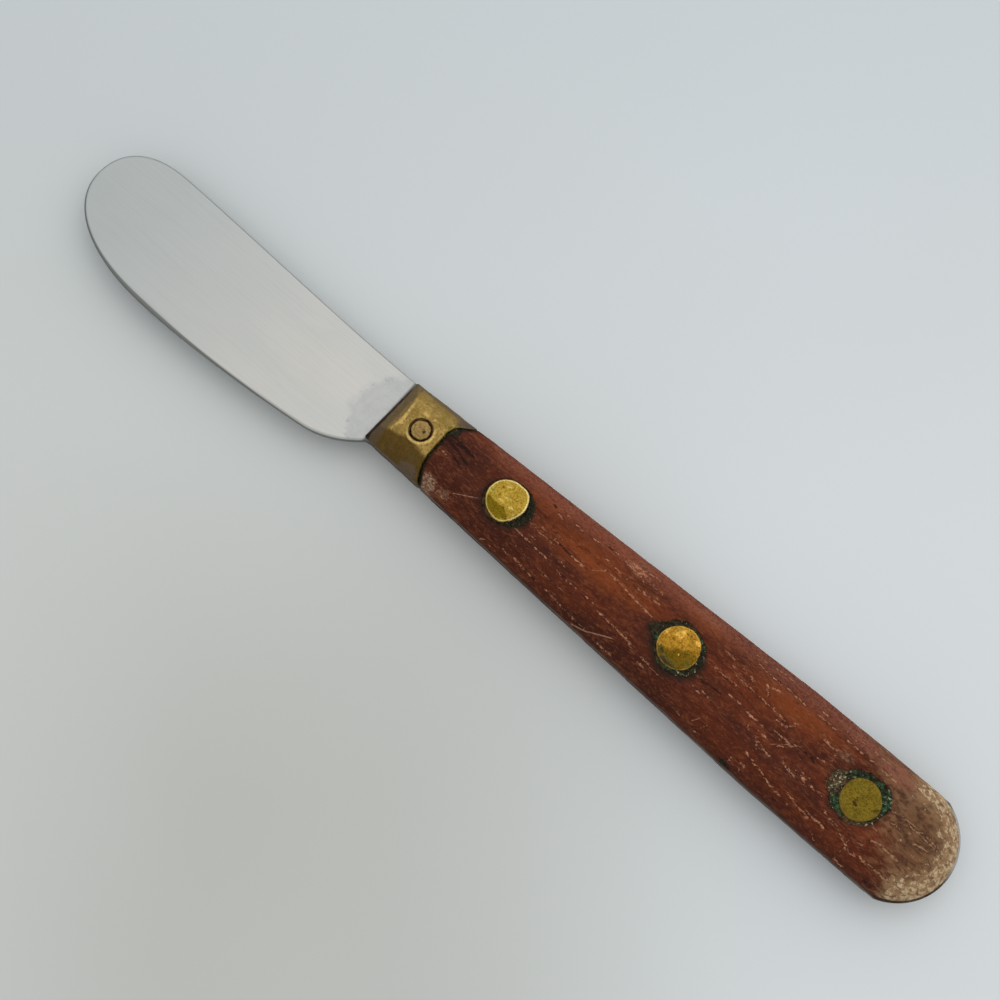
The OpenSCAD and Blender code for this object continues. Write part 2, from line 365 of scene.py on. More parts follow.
# %% Shape the sheet
def shape_sheet():
    """Extrude the outline, inset its rim and its bevel, and mirror the half below."""
    bm = bmesh.new()
    face = bm.faces.new([bm.verts.new(place) for place in outline])
    grown = bmesh.ops.extrude_face_region(bm, geom=[face])["geom"]
    bmesh.ops.translate(bm, verts=[v for v in grown if isinstance(v, bmesh.types.BMVert)],
                        vec=(0, 0, rim_half))
    top = next(f for f in grown if isinstance(f, bmesh.types.BMFace))
    bmesh.ops.delete(bm, geom=[f for f in bm.faces if f is not top and abs(f.normal.z) > 0.9],
                     context="FACES_ONLY")
    ring = bmesh.ops.inset_region(bm, faces=[top], thickness=ease, use_even_offset=True)["faces"]
    inner = set(top.verts)
    for f in ring:
        outer = [v for v in f.verts if v not in inner]
        for v in (v for v in f.verts if v in inner and v.co.z < rim_half + 0.001):
            nearest = min(outer, key=lambda o: (o.co - v.co).length)
            v.co = nearest.co + (v.co - nearest.co) * bevel_growth(nearest.co)
            v.co.z = flat_height(v.co.x)
    bmesh.ops.inset_region(bm, faces=[top], thickness=bevel_line, use_even_offset=True)
    for v in bm.verts:
        if v.co.z > rim_half + 0.01:
            v.co.z = flat_height(v.co.x)
    bmesh.ops.mirror(bm, geom=bm.verts[:] + bm.edges[:] + bm.faces[:], axis="Z", merge_dist=0.0001)
    bmesh.ops.remove_doubles(bm, verts=bm.verts, dist=0.0001)
    return bm


# %% [markdown]
# ## The finish of the steel
# The blade was polished along its length and has gone satin from years of washing. Its colour is
# painted a shade darker towards the tip as a painted reflection, and beside the bolster, where no
# cloth reaches, a dull mottled film is left. A painted shadow line lies along the bolster's front,
# the ground bevel is painted darker as a painted reflection, and the tang's edge between the
# scales is painted dark and mottled.

# %% Places and grains of the steel
steel_finish, places, shader = new_finish("satin_steel")
split = add_node(places.tree, "SeparateXYZ", 0, (places,)).socket.node
run, across, up = (Value(socket) for socket in split.outputs)
brush = grain(turned(places, 2, (0.1, 8, 8)), 1, 4, 0.6)
haze = grain(turned(places, 0, (0.05, 0.12, 0.12)), 1, 3, 0.5, 0.3)
fleck = grain(places, 0.9, 3, 0.6, 0.5)
spatter = grain(places, 5.5, 2, 0.5)
cloud = grain(turned(places, 0, (0.5, 0.5, 0.5), (2, 4, 0)), 1, 4, 0.6, 0.6)
dusky = grain(turned(places, 0, (0.22, 1.2, 3.2)), 1, 5, 0.65, 0.3)
print("grains of the steel are ready")

# %% Satin steel
# The film ends in a cloudy bow round the bolster, and its end is a darker line.
bow = (across - 1) * (across - 1)
film_left = cloud * 4 + 3.8 + bow * -0.09 - run
film = film_left.step(-0.8, 1.2)
film_line = film_left.step(-0.7, 0.2) * film_left.step(1.6, 0.3) * fleck.step(0.5, 0.62)
filmed = lay(fleck.step(0.35, 0.65), (168, 170, 169), (178, 179, 177))

# How deep a place lies below the flat face tells the ground bevel from the face. The bevel is
# painted darker, most towards the belly, as a painted reflection.
flat = (run * -thinning + (root_half + thinning * root_x)).math("MINIMUM", root_half)
ground = (flat - abs(up) - run.step(30, 5, 0, 0.22)).step(0.02, 0.1)
# The tang's edge is painted dark and mottled, darkest where it meets the scales, and lighter at the
# butt on the spine's side.
tang_share = run.step(-0.2, -1)
tang_edge_colour = coats(
    lay(dusky.step(0.36, 0.66), (62, 50, 41), (116, 104, 90)),
    ((abs(up) + (dusky * 0.5 - 0.25)).step(0.45, 0.8, 0, 0.6), (50, 41, 34)),
    (across.step(1.5, -2.5) * run.step(-97, -99.5), (150, 150, 146)))
# The first tone is a painted reflection: the steel a shade darker towards the tip, warmer at the heel.
colour = coats(
    lay(run.step(4, 62), (187, 184, 179), (165, 169, 168)),
    (haze.step(0.35, 0.65, 0, 0.4), (172, 175, 173)),
    (brush.step(0.45, 0.7, 0, 0.14), (143, 146, 144)),
    (film * 0.6, filmed),
    (film_line * 0.5, (146, 147, 146)),
    # Painted shadow: a dark line on the steel right at the bolster's front.
    (run.step(0.5, 0.05, 0, 0.75), (66, 60, 52)),
    (spatter.step(0.68, 0.74) * run.step(8.5, 3) * 0.4, (112, 112, 108)),
    # Painted reflection: the ground bevel darker, most towards the belly.
    (ground * across.step(1, 6, 0.05, 0.75), (104, 106, 101)),
    (tang_share, tang_edge_colour))
rough = brush.step(0.3, 0.7, 0.34, 0.42) + film.math("MAXIMUM", tang_share) * 0.16
dress(shader, colour, rough, metallic=1.0)
relief(shader, brush + fleck * film, 0.012, 0.5)
seat(shape_sheet(), "blade_sheet", steel_finish, "blade")

# %% [markdown]
# ## Noise and paint
# Wear isn't even. One helper gives smooth noise at a chosen size, one makes a soft step, and two
# keep masks on a piece's points and read them back in a finish, so that a stain sits where the real
# one does and moves with the mesh.

# %% Noise and paint
def lump(place, size, seed=0.0):
    """Smooth noise from -1 to 1 whose lumps are about as large as size, in millimetres."""
    return noise.noise(place / size + Vector((seed, 2 * seed, 3 * seed)))


def rise(value, low, high):
    """0 below low, 1 above high and a smooth step between, for one value or for an array."""
    share = np.clip((np.asarray(value, float) - low) / (high - low), 0, 1)
    return share * share * (3 - 2 * share)


def paint(piece, name, red, green, blue, extra):
    """Keep four masks on a piece's points, where its finish can read them."""
    layer = piece.data.color_attributes.new(name, "FLOAT_COLOR", "POINT")
    masks = np.stack([red, green, blue, extra], 1)
    layer.data.foreach_set("color", masks.astype(np.float32).ravel())


def read_paint(places, name):
    """The four masks that were painted under a name."""
    colour = add_node(places.tree, "Attribute", "Color", attribute_name=name)
    split = add_node(places.tree, "SeparateColor", 0, (colour,)).socket.node
    return [Value(socket) for socket in (*split.outputs, colour.socket.node.outputs["Alpha"])]


# %% [markdown]
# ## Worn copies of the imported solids
# Bolsters and scales have no crisp edge left: years of washing have rounded and dented them. Their
# solids have the right form, so each is copied, merged and remeshed into a fine even skin, which
# is then softened and worn by moving its points. Subdividing the solid itself would leave long thin
# triangles that dent badly.

# %% Worn copies
softening_rounds = 3


def skin_of(node, grid):
    """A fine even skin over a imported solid, in the knife's millimetres, softened a few times."""
    bm = bmesh.new()
    bm.from_mesh(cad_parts[node].data)
    bmesh.ops.transform(bm, verts=bm.verts,
                        matrix=Matrix.Scale(1 / MM, 4) @ Matrix.Translation(-knife_origin))
    bmesh.ops.remove_doubles(bm, verts=bm.verts, dist=0.0005)
    holder = link_piece("rough_skin", mesh_from(bm, "rough_skin"))
    remesh = holder.modifiers.new("even_grid", "REMESH")
    remesh.mode = "VOXEL"
    remesh.voxel_size = grid
    bpy.context.view_layer.update()
    settled = holder.evaluated_get(bpy.context.evaluated_depsgraph_get())
    even = bpy.data.meshes.new_from_object(settled)
    bpy.data.objects.remove(holder)
    bm = bmesh.new()
    bm.from_mesh(even)
    for _ in range(softening_rounds):
        bmesh.ops.smooth_vert(bm, verts=bm.verts, factor=0.5, use_axis_x=True, use_axis_y=True,
                              use_axis_z=True)
    bm.normal_update()
    return bm


# %% [markdown]
# ## Marks on the wood
# Old rosewood-like handles show open pores as broken pale dashes along the grain, a few slanting
# knife scratches, and dark splits. Noise alone would scatter them evenly, so the marks that catch
# the eye are listed as strokes, drawn from start to end with a strength, under their width.
# Each end is noted as how far it lies behind the bolster's front and its y. A stroke is painted as
# a soft mask on the points of the skin, and the finish breaks it up.

# %% Strokes along the grain
pale_marks = {
    0.18: [(89.7, 5.2, 90, 7.8, 0.5)],
    0.22: [(74.2, 1.8, 76.1, 0.2, 0.6)],
    0.3: [(27.1, 2.2, 29.2, 2.3, 1), (41.7, 3.2, 42.1, 3.4, 0.8), (27.1, 3.8, 28, 3.9, 0.5),
        (29, 4, 30.8, 4.1, 0.5), (32.4, 4.3, 34.1, 4.5, 0.3), (34.1, 4.5, 37.5, 4.6, 0.4),
        (23, 6.3, 23.8, 5.9, 0.6), (34.8, 5.8, 38.4, 6.2, 0.5), (38.4, 6.2, 43.4, 6.6, 0.4),
        (59.3, 1.4, 59.9, 1.4, 0.8), (78.8, 2.2, 80.5, 2.2, 0.6), (72, 7.3, 72.6, 7.8, 0.6)],
    0.33: [(93.8, -2.1, 100.8, -1.9, 0.9), (94.9, -1.7, 100.2, -1.4, 0.8)],
    0.37: [(29.1, -0.6, 30, -0.4, 0.9), (31.6, -0.4, 32.5, -0.3, 1), (35.2, -0.1, 37.7, -0.1, 0.8),
        (26.8, -0.1, 28, 0, 0.5), (26.3, 2.1, 27, 2.2, 0.9), (29.5, 2.4, 31.5, 2.5, 0.9),
        (31.6, 2.5, 32.5, 2.6, 0.8), (34.8, 2.8, 35.9, 3, 0.8), (36.7, 3.1, 38.7, 3.2, 0.9),
        (40.3, 3, 40.7, 3.1, 0.9), (43, 3.5, 45.6, 3.8, 1), (28.9, 1.5, 29.5, 1.5, 0.7),
        (32.4, 1.6, 34.4, 1.6, 0.5), (34.5, 1.6, 35.8, 1.8, 0.4), (26, 5.2, 27.9, 5.5, 0.35),
        (28.8, 5.3, 31, 5.7, 0.9), (31.6, 5.5, 32.4, 5.9, 0.9), (30.4, -4.4, 31.3, -4.4, 0.7),
        (32.2, -4.2, 34.2, -4, 0.9), (29.6, -3.7, 30.5, -3.5, 0.9), (35.1, -4.2, 36.8, -4.3, 0.4),
        (30.9, -1.3, 32.6, -1.1, 0.6), (40.1, -1.7, 44.1, -1.6, 0.8), (45.6, 3.7, 49.8, 4.1, 1),
        (51.9, 4.6, 55.4, 4.9, 0.8), (63.8, -2.2, 71.2, -1.9, 1), (65.2, -5.7, 69.4, -5.5, 0.6),
        (64.7, 0.5, 65.8, 0.6, 0.7), (65.8, 0.5, 68.6, 0.8, 1), (68.6, 0.9, 70.9, 0.8, 0.7),
        (59.6, 2.9, 61.5, 3.1, 0.6), (61.5, 2.6, 63.3, 2.9, 1), (59.6, 6.8, 61.3, 7.1, 0.4),
        (70.5, -5.6, 73.8, -5.4, 0.9), (76, -5.6, 79.6, -5.4, 0.8), (81.2, -5.4, 84, -5.3, 1),
        (85.4, -5.3, 86.2, -5.3, 0.7), (70.7, -2.1, 73.1, -1.6, 0.9), (71.8, -1, 73.4, -1.1, 0.9),
        (72.5, 0.2, 73.6, 0.3, 0.8), (73.8, 0.3, 74.5, 0.3, 1), (79.2, -0.6, 80.5, -0.9, 0.8),
        (69.3, 0.8, 71.3, 0.9, 0.5), (71.6, 0.8, 74, 0.8, 0.5), (69.9, 1.8, 72.7, 1.8, 0.6),
        (72.2, 3.9, 73, 3.5, 0.8), (78.2, 2.8, 80.1, 2.8, 0.9), (81.2, 2.5, 81.8, 2.3, 0.9),
        (81, 3, 83.2, 3, 0.8), (71.4, 5.2, 74.1, 5.8, 0.9), (74.4, 5.8, 76.9, 6.5, 0.8),
        (77, 6.4, 78.1, 6.6, 0.9), (78.5, 6.7, 80.4, 7, 0.8), (81.4, 6.2, 83.6, 6.6, 0.9),
        (82.8, 6, 86.1, 6.2, 0.9), (89.9, 8.2, 91.5, 8.4, 0.8), (85.6, 7.8, 86.4, 8.3, 0.6),
        (96.4, -0.2, 98.8, -0.5, 0.9), (92.8, 6.1, 97.3, 6.1, 0.9)],
    0.44: [(10.6, 0.3, 11.8, 0.6, 0.6), (26, -1.3, 27.9, -1.4, 0.5), (28.3, 0.2, 32.3, 0.3, 0.4),
        (37.5, -5, 40, -4.8, 0.4), (40.9, -4.8, 44, -4.4, 0.6), (39.1, -3, 43.4, -2.7, 0.5),
        (44, -5.6, 47.1, -5.9, 0.5), (45.1, -2.7, 49.1, -2.9, 0.9), (44.1, -1.4, 49.5, -0.8, 0.9),
        (48.4, 3.8, 50.1, 4.6, 0.8), (52, 5.5, 53.7, 5.3, 0.9), (45.5, 6.8, 48.3, 7, 0.4),
        (59.9, -1.2, 64.7, -1.1, 0.7), (67.9, -4.1, 69, -2.9, 0.8), (68.8, -4.2, 69.9, -4.4, 0.7),
        (63.9, -6.7, 66.6, -6.8, 0.5), (67.3, -7, 70.8, -7.3, 0.6), (69.2, 2.2, 69.9, 2.4, 0.9),
        (63.2, 7.1, 64.6, 7.5, 0.7), (70.4, 6.8, 70.5, 7.5, 1), (87.4, -5.3, 90, -5.3, 1),
        (76.1, -6.4, 77.1, -6.4, 0.7), (80.6, -6.3, 82.3, -6.3, 0.7), (83.1, -6.8, 88.8, -6.8, 0.6),
        (73.4, -1.1, 74.5, -2.1, 0.9), (78.6, -3.2, 81, -3.2, 0.8), (74.7, 0.2, 75.4, 0.4, 1),
        (76.1, 0.1, 76.9, -0.5, 0.5), (71.2, 2.6, 72, 3.5, 0.9), (71.7, 2.8, 73.3, 3.3, 0.7),
        (73.6, 3.5, 74.4, 3.5, 0.9), (75.9, 2.6, 76.8, 3.2, 0.9), (77.3, 3.2, 78.7, 3.4, 1),
        (79.8, 2.9, 80.5, 3.6, 1), (79.4, 5.8, 81.4, 6.2, 0.6), (71.9, 6.8, 72.7, 6.8, 0.8),
        (84.8, 4.4, 86.8, 5, 0.7), (88.3, 5.4, 89.2, 5.8, 0.8), (89.4, 5.9, 90.5, 6.4, 0.9),
        (90.1, 6.5, 91.6, 6.4, 0.9), (92.1, 5.9, 92.9, 6.3, 0.8), (90.7, 4.6, 91.5, 4.8, 0.8),
        (93.3, -2, 94.4, -2, 0.9), (92.3, -0.3, 94.2, -0.5, 0.9), (90.5, 1.5, 91.9, 1.9, 0.8),
        (93.4, 3, 96.3, 3.2, 0.9), (92.1, 3.3, 93.2, 2.9, 0.7)],
    0.59: [(11.9, -4.9, 14.1, -4.5, 0.5), (18, -4.5, 19.1, -5.2, 0.4), (11.5, 2.2, 12.4, 2.5, 0.6),
        (11.4, 4.2, 12.7, 4.4, 0.8), (11.3, 5.2, 11.8, 5.7, 0.7), (14.7, 4.4, 16.7, 4.8, 0.7),
        (11.7, 6.1, 13.8, 6.2, 0.6), (24.9, 6.2, 25.9, 6.3, 0.7), (29.4, -5.4, 30.9, -5.6, 0.5),
        (39.4, -5.5, 40.2, -5.8, 0.5), (43.5, -3.3, 45.5, -3, 0.8), (43.8, -2.3, 45.5, -2, 0.7),
        (46.9, -3.9, 48.6, -3.3, 0.7), (87.2, -5, 88.6, -5.2, 0.9), (74.1, -2.2, 74.9, -2.8, 0.9),
        (86.8, 4.8, 88.1, 5.2, 0.9)],
    0.74: [(16, -5.6, 17.9, -4.8, 0.5), (42, -4.4, 45.5, -4.1, 0.7), (45.5, -4.6, 49, -4.4, 0.7),
        (89.4, -4.1, 90.2, -3.6, 0.9), (94.6, -7.2, 96.9, -7.4, 0.5)],
    0.89: [(12.7, 5, 14.9, 5.5, 0.8), (51.9, -6.5, 57.5, -5.6, 0.4), (62.4, -3, 65.2, -2.4, 0.7),
        (77.5, -4, 79.5, -3.2, 0.6), (80.9, -3.5, 81.5, -1.1, 0.7)],
    1.04: [(92.4, -5.3, 94.5, -6.4, 0.4)],
    1.19: [(60.7, -4.1, 66.5, -3.2, 0.85)],
}
scratches = {
    0.21: [(73.1, 2.4, 76.1, -0.1, 0.5)],
    0.22: [(18.3, 2.8, 19.8, 1.9, 0.6), (35.8, -1.1, 36.9, -0.4, 0.4)],
    0.24: [(15.9, 4, 18.3, 2.8, 0.7), (23, 6.3, 23.8, 5.9, 0.6)],
    0.27: [(43.4, 6.7, 47.2, 5.1, 0.9), (38.7, -0.5, 40.2, -1.6, 0.6), (63.1, 6.6, 63.7, 5.7, 0.7),
        (64.7, 6.6, 65.1, 5.8, 0.6)],
    0.3: [(41.2, 7.1, 43.4, 6.7, 0.8)],
}
dark_marks = {
    0.3: [(10.5, -1.8, 12.3, -1.8, 0.6), (32.6, -0.3, 35.2, 0, 0.8), (37.1, 3, 37.9, 3, 0.6),
        (60.3, 1.5, 63.8, 1.2, 0.3)],
    0.37: [(11.6, -2.2, 14.6, -1.9, 0.8), (11.9, -2.2, 13.7, -2.1, 0.7), (35.4, 3, 36.4, 3, 0.8),
        (32.6, 5.8, 33.1, 5.8, 0.7), (41.5, 6.6, 43.2, 6.7, 0.7)],
    0.44: [(9.8, -2.2, 11.9, -2.4, 1), (10, -1.5, 12.9, -1, 0.9), (13.5, -0.7, 14.8, -0.4, 1),
        (12.6, 0, 13.8, 0.3, 0.9), (38.3, -4.8, 38.8, -4.8, 0.6), (28.2, -4.4, 28.7, -4.2, 0.7),
        (60.7, 1.6, 61.4, 1.6, 0.6), (77.6, -0.1, 78, -0.1, 0.5), (78.8, -0.1, 79.5, 0.1, 0.6),
        (95.1, -0.3, 96.3, -0.2, 0.9), (95.7, -2.3, 96, -2, 0.6), (69.3, 8, 71.2, 8.2, 0.8),
        (78.3, 7.5, 78.8, 7.6, 0.4)],
    0.59: [(94.9, 8, 96, 8.1, 0.8)],
    0.89: [(98.8, 0.2, 100.1, 0.8, 0.3)],
}
print("strokes:", [sum(map(len, marks.values())) for marks in (pale_marks, scratches, dark_marks)])


# %% Masks from strokes and spots
def stroke_mask(places, strokes, reach=0.3):
    """A ridge along each stroke: 1 on its middle line, falling evenly to 0 beside it."""
    best = np.zeros(len(places))
    mirrored = places[:, :2] * (-1, 1)
    rows = [(width, *row) for width, table in strokes.items() for row in table]
    for width, back0, y0, back1, y1, strength in rows:
        way = np.array((back1 - back0, y1 - y0))
        length = max(np.hypot(*way), 0.05)
        way /= length
        offset = mirrored - (back0, y0)
        run = np.clip(offset @ way, 0, length)
        away = np.hypot(*(offset - run[:, None] * way).T)
        ridge = np.clip(1 - away / (reach + width / 2), 0, 1)
        best = np.maximum(best, ridge * (0.72 + 0.28 * strength))
    return best


def spot_mask(places, spots):
    """Soft round or oval spots, each with its centre, two radii and a strength."""
    best = np.zeros(len(places))
    for x, y, along_x, along_y, strength in spots:
        away = np.hypot((places[:, 0] - x) / along_x, (places[:, 1] - y) / along_y)
        best = np.maximum(best, strength * rise(away, 1.0, 0.2))
    return best


# %% [markdown]
# ## Where the crust lies
# Brass and damp oily wood make verdigris. It fills the gap round each rivet's head and has crept
# over the wood in places. One table per rivet notes, going round from the butt's side by the
# belly's, how far out the crust reaches and how green, how chalky and how brown it is there. The
# wood, the crust and their finishes all read these tables, so no clean circle is left.

# %% Where the crust lies
rivet_names = ("front", "middle", "rear")
rivet_places = ((-22.5, -0.1), (-55.1, 0), (-87.7, -0.05))
crust_tables = (
    ((0, 4.5, 0.1, 0.4, 0), (20, 4.2, 0.1, 0.1, 0), (40, 3.9, 0.1, 0, 0), (60, 3.45, 0, 0, 0.5),
     (90, 3.36, 0, 0, 1), (180, 3.34, 0, 0, 1), (270, 3.4, 0, 0, 0.8), (300, 3.75, 0.1, 0, 0.3),
     (330, 4.3, 0.1, 0.1, 0), (347, 4.7, 0.1, 0.2, 0)),
    ((0, 4.1, 0.1, 0.5, 0), (40, 4.2, 0.1, 0.6, 0), (70, 3.9, 0.2, 0.2, 0), (95, 3.85, 0.5, 0.1, 0.2),
     (120, 3.6, 0.2, 0, 0.3), (145, 3.6, 0.2, 0.1, 0.1), (160, 3.8, 0.3, 0.2, 0),
     (168, 4.3, 0.3, 0.5, 0), (177, 5.3, 0, 0.2, 0.2), (184, 5.2, 0, 0.2, 0.2), (192, 4.3, 0.3, 0.3, 0),
     (207, 4, 0.4, 0.2, 0), (225, 3.8, 0.2, 0.1, 0.2), (250, 3.8, 0.1, 0.5, 0.3),
     (270, 3.6, 0.4, 0.1, 0.3), (300, 3.6, 0.6, 0, 0.1), (330, 3.9, 0.1, 0.3, 0)),
    ((0, 3.35, 0.6, 0.4, 0.3), (25, 3.4, 0.3, 0.5, 0.6), (60, 3.4, 0.1, 0.2, 0.9),
     (90, 3.7, 0.1, 0.1, 0.9), (110, 3.8, 0.8, 0.3, 0.3), (135, 4.4, 0.9, 0.5, 0),
     (152, 4.5, 0.7, 0.6, 0.2), (166, 5.2, 0.3, 0.8, 0.9), (195, 5.3, 0.3, 0.8, 0.8),
     (207, 4.3, 0.7, 0.6, 0.2), (225, 4.2, 0.9, 0.2, 0), (245, 3.9, 0.9, 0.2, 0),
     (270, 3.9, 0.5, 0.2, 0.2), (290, 4.1, 0.8, 0.3, 0), (315, 4.3, 1, 0.9, 0), (340, 4, 1, 0.8, 0),
     (352, 3.6, 0.6, 0.5, 0.2)),
)
crept_spots = [(-70.1, 8.3, 1, 0.9, 1), (-10.4, -3.2, 0.9, 2, 0.8)]
crust_limit = 7
print("crust tables:", [len(rows) for rows in crust_tables], "rows")


# %% Reading the tables
def going_round(rows, offset):
    """What a table's columns say in the directions of some offsets from its rivet's middle."""
    angle = np.degrees(np.arctan2(offset[:, 1], -offset[:, 0]))
    angles, *columns = np.array(rows, float).T
    return [np.interp(angle, angles, column, period=360) for column in columns]


def from_middle(places, middle):
    """The flat offsets of some places from a middle, and their lengths."""
    offset = places[:, :2] - np.array(middle)
    return offset, np.hypot(*offset.T)


def knife_array(piece):
    """Every point of a piece, in the knife's millimetres."""
    return (np.array([v.co for v in piece.data.vertices]) - np.array(knife_origin)) / MM


def paint_crust(piece, seam=0.0):
    places = knife_array(piece)
    kinds = np.zeros((4, len(places)))
    kinds[3] = np.maximum(spot_mask(places, crept_spots) * (places[:, 2] > 0), seam)
    for rows, place in zip(crust_tables, rivet_places):
        offset, away = from_middle(places, place)
        reach, green, chalk, brown = going_round(rows, offset)
        near = away < crust_limit
        fade = 0.75 * np.clip((reach - 3.3) / 0.6, 0.12, 1) + 0.8 * chalk * brown
        amount = rise((reach - away) / fade, -1, 0.7)
        kinds[:, near] = np.stack((green, chalk, brown, amount))[:, near]
    paint(piece, "crust", *kinds)


# %% The look of the crust
def crust_look(places):
    """The crust's colour, its height and how much of it lies at each place."""
    green, chalk, brown, amount = read_paint(places, "crust")
    fleck = grain(places, 1.9, 3, 0.6, 0.5)
    coarse = grain(turned(places, shift=(5, 2, 8)), 1.3, 3, 0.6, 0.5)
    grit = grain(turned(places, shift=(1, 7, 4)), 2.3, 3, 0.6, 0.4)
    inside = green * amount.step(0.5, 0.95, 0.3, 1)
    verdant = lay(fleck.step(0.42, 0.64), (22, 40, 23), (46, 84, 52))
    browned = lay(coarse.step(0.4, 0.62), (44, 31, 19), (92, 68, 45))
    chalky = lay(fleck.step(0.4, 0.6), (98, 97, 74), (158, 150, 119))
    colour = coats(lay(fleck.step(0.4, 0.62), (20, 17, 9), (43, 40, 23)),
                   ((inside * 0.2 + coarse).step(0.58, 0.74), verdant),
                   (brown * fleck.step(0.35, 0.6, 0.6, 1), browned),
                   ((chalk * 0.15 + grit).step(0.65, 0.75), chalky))
    return colour, grit + coarse, amount


# %% [markdown]
# ## Wooden scales
# Each scale is sawn, shaped to the tang and rounded over by hand. Its skin gets the gentle
# unevenness of hand work, an eroded butt where water has raised and eaten the grain, and a corner
# worn away beside the bolster. Where the crust is narrow the wood has swollen up against the
# rivet's head. The joint with the bolster runs further back on the spine's side, so the same pull
# is given to the skins on both sides of it.

# %% Shape a scale
recess_radius = 3.825
tight_radius = 3.3
table_z = -4.3
outer_side = 1
worn_corner = Vector((-10.6, 6))


def joint_pull(x, y):
    """How far the bolster's joint is drawn back on the rounded shoulder of the spine's side."""
    return 1.15 * rise(-x, 7, 9.6) * rise(-x, 15.5, 11) * rise(-y, 3.4, 5.6)


def close_recesses(bm, side):
    """Bring the wood in against a rivet's head wherever the crust's table leaves no gap."""
    for rows, place in zip(crust_tables, rivet_places):
        centre = Vector(place)
        for v in bm.verts:
            away = v.co.to_2d() - centre
            if v.co.z * side > outer_side and 2.2 < away.length < 5:
                reach = going_round(rows, np.array([away]))[0][0]
                room = recess_radius - min(max(reach, tight_radius), recess_radius)
                share = rise(away.length, 2.2, 3.4) * rise(away.length, 5, recess_radius)
                v.co.x, v.co.y = centre + away * float(1 - room * share / away.length)


# %% Wear a scale
def wear_scale(bm, side):
    """Take wood off along each point's normal: a little everywhere, more at butt and corner."""
    for v in bm.verts:
        place = v.co.copy()
        place.z *= side
        loss = 0.02 + 0.03 * lump(place, 7) + 0.018 * lump(place, 1.6, 5)
        if place.z > outer_side:
            v.co.x -= float(joint_pull(place.x, place.y))
            drawn_out = Vector((place.x / 5, place.y, place.z))
            butt = float(rise(-place.x, 91, 101))
            corner = float(rise((worn_corner - place.to_2d()).length, 2.6, 0.4))
            eaten = 0.16 * max(lump(drawn_out, 0.7, 9), 0) + 0.12 * abs(lump(place, 0.9, 3))
            loss += 0.05 * max(lump(drawn_out, 0.45, 2), 0) + butt * (0.02 + eaten)
            loss += corner * (0.22 + 0.08 * lump(place, 0.5, 4))
        if abs(v.normal.z) < 0.4:
            loss = min(loss, 0.05)
        v.co -= v.normal * min(max(loss, -0.08), 0.4)
        v.co.z = max(v.co.z, table_z)
    bm.normal_update()


# %% Zones of the wood
worn_spots = [(-11.8, 5.2, 2.8, 2.4, 1), (-14.5, 5, 3.2, 1.6, 0.6), (-44, -6.2, 4, 1.5, 0.5),
              (-56, -6.6, 6, 1.6, 0.5), (-17, -5.6, 5, 1.2, 0.5), (-82.5, -3.5, 3, 2, 0.55),
              (-93, -3.5, 3.5, 3.5, 0.6)]
orange_spots = [(-38, -1.4, 14, 3.8, 0.8), (-27, -3.6, 6, 2, 0.5), (-74, -4, 12, 2.8, 0.75),
                (-56, -5.5, 8, 2.2, 0.6)]
crowd_spots = [(-43.5, -4.9, 5.5, 2, 1), (-30, -4.6, 4, 1.6, 0.6), (-66, -4.6, 6, 2, 0.7),
               (-79, -4.2, 5, 2, 0.6), (-20, 3.5, 4, 2, 0.3), (-93, 2.5, 6, 4, 0.5)]
# Dim zones: partly the wood's own darker tone, partly painted shade by the bolster and on the belly's
# side.
dim_and_shaded_spots = [(-13, -0.5, 9, 5, 0.9), (-24, 4.5, 10, 2.5, 0.7), (-50.5, 1.5, 4, 3, 0.6),
             (-64, 2, 9, 3.5, 0.55), (-80, 3.5, 9, 3.5, 0.5)]
reddish_spots = [(-89.5, -6.5, 5, 2.4, 1), (-84, -6.8, 5, 1.5, 0.6)]
damp_shares = (0.9, 1, 0.65)
print("zones of the wood:", len(worn_spots + orange_spots + crowd_spots + dim_and_shaded_spots))


# %% Paint a scale
def damp_round_rivets(places):
    """Damp, oily wood round each rivet: up to the crust's edge and fading 2.2 mm beyond it."""
    around = np.zeros(len(places))
    for place, rows, share in zip(rivet_places, crust_tables, damp_shares):
        offset, away = from_middle(places, place)
        reach = np.minimum(going_round(rows, offset)[0], 4.4)
        low_side = 0.4 + 0.6 * rise(offset[:, 1] / np.maximum(away, 0.1), -0.8, 0.3)
        around = np.maximum(around, share * low_side * rise(away, reach + 2.2, reach - 0.2))
    return around


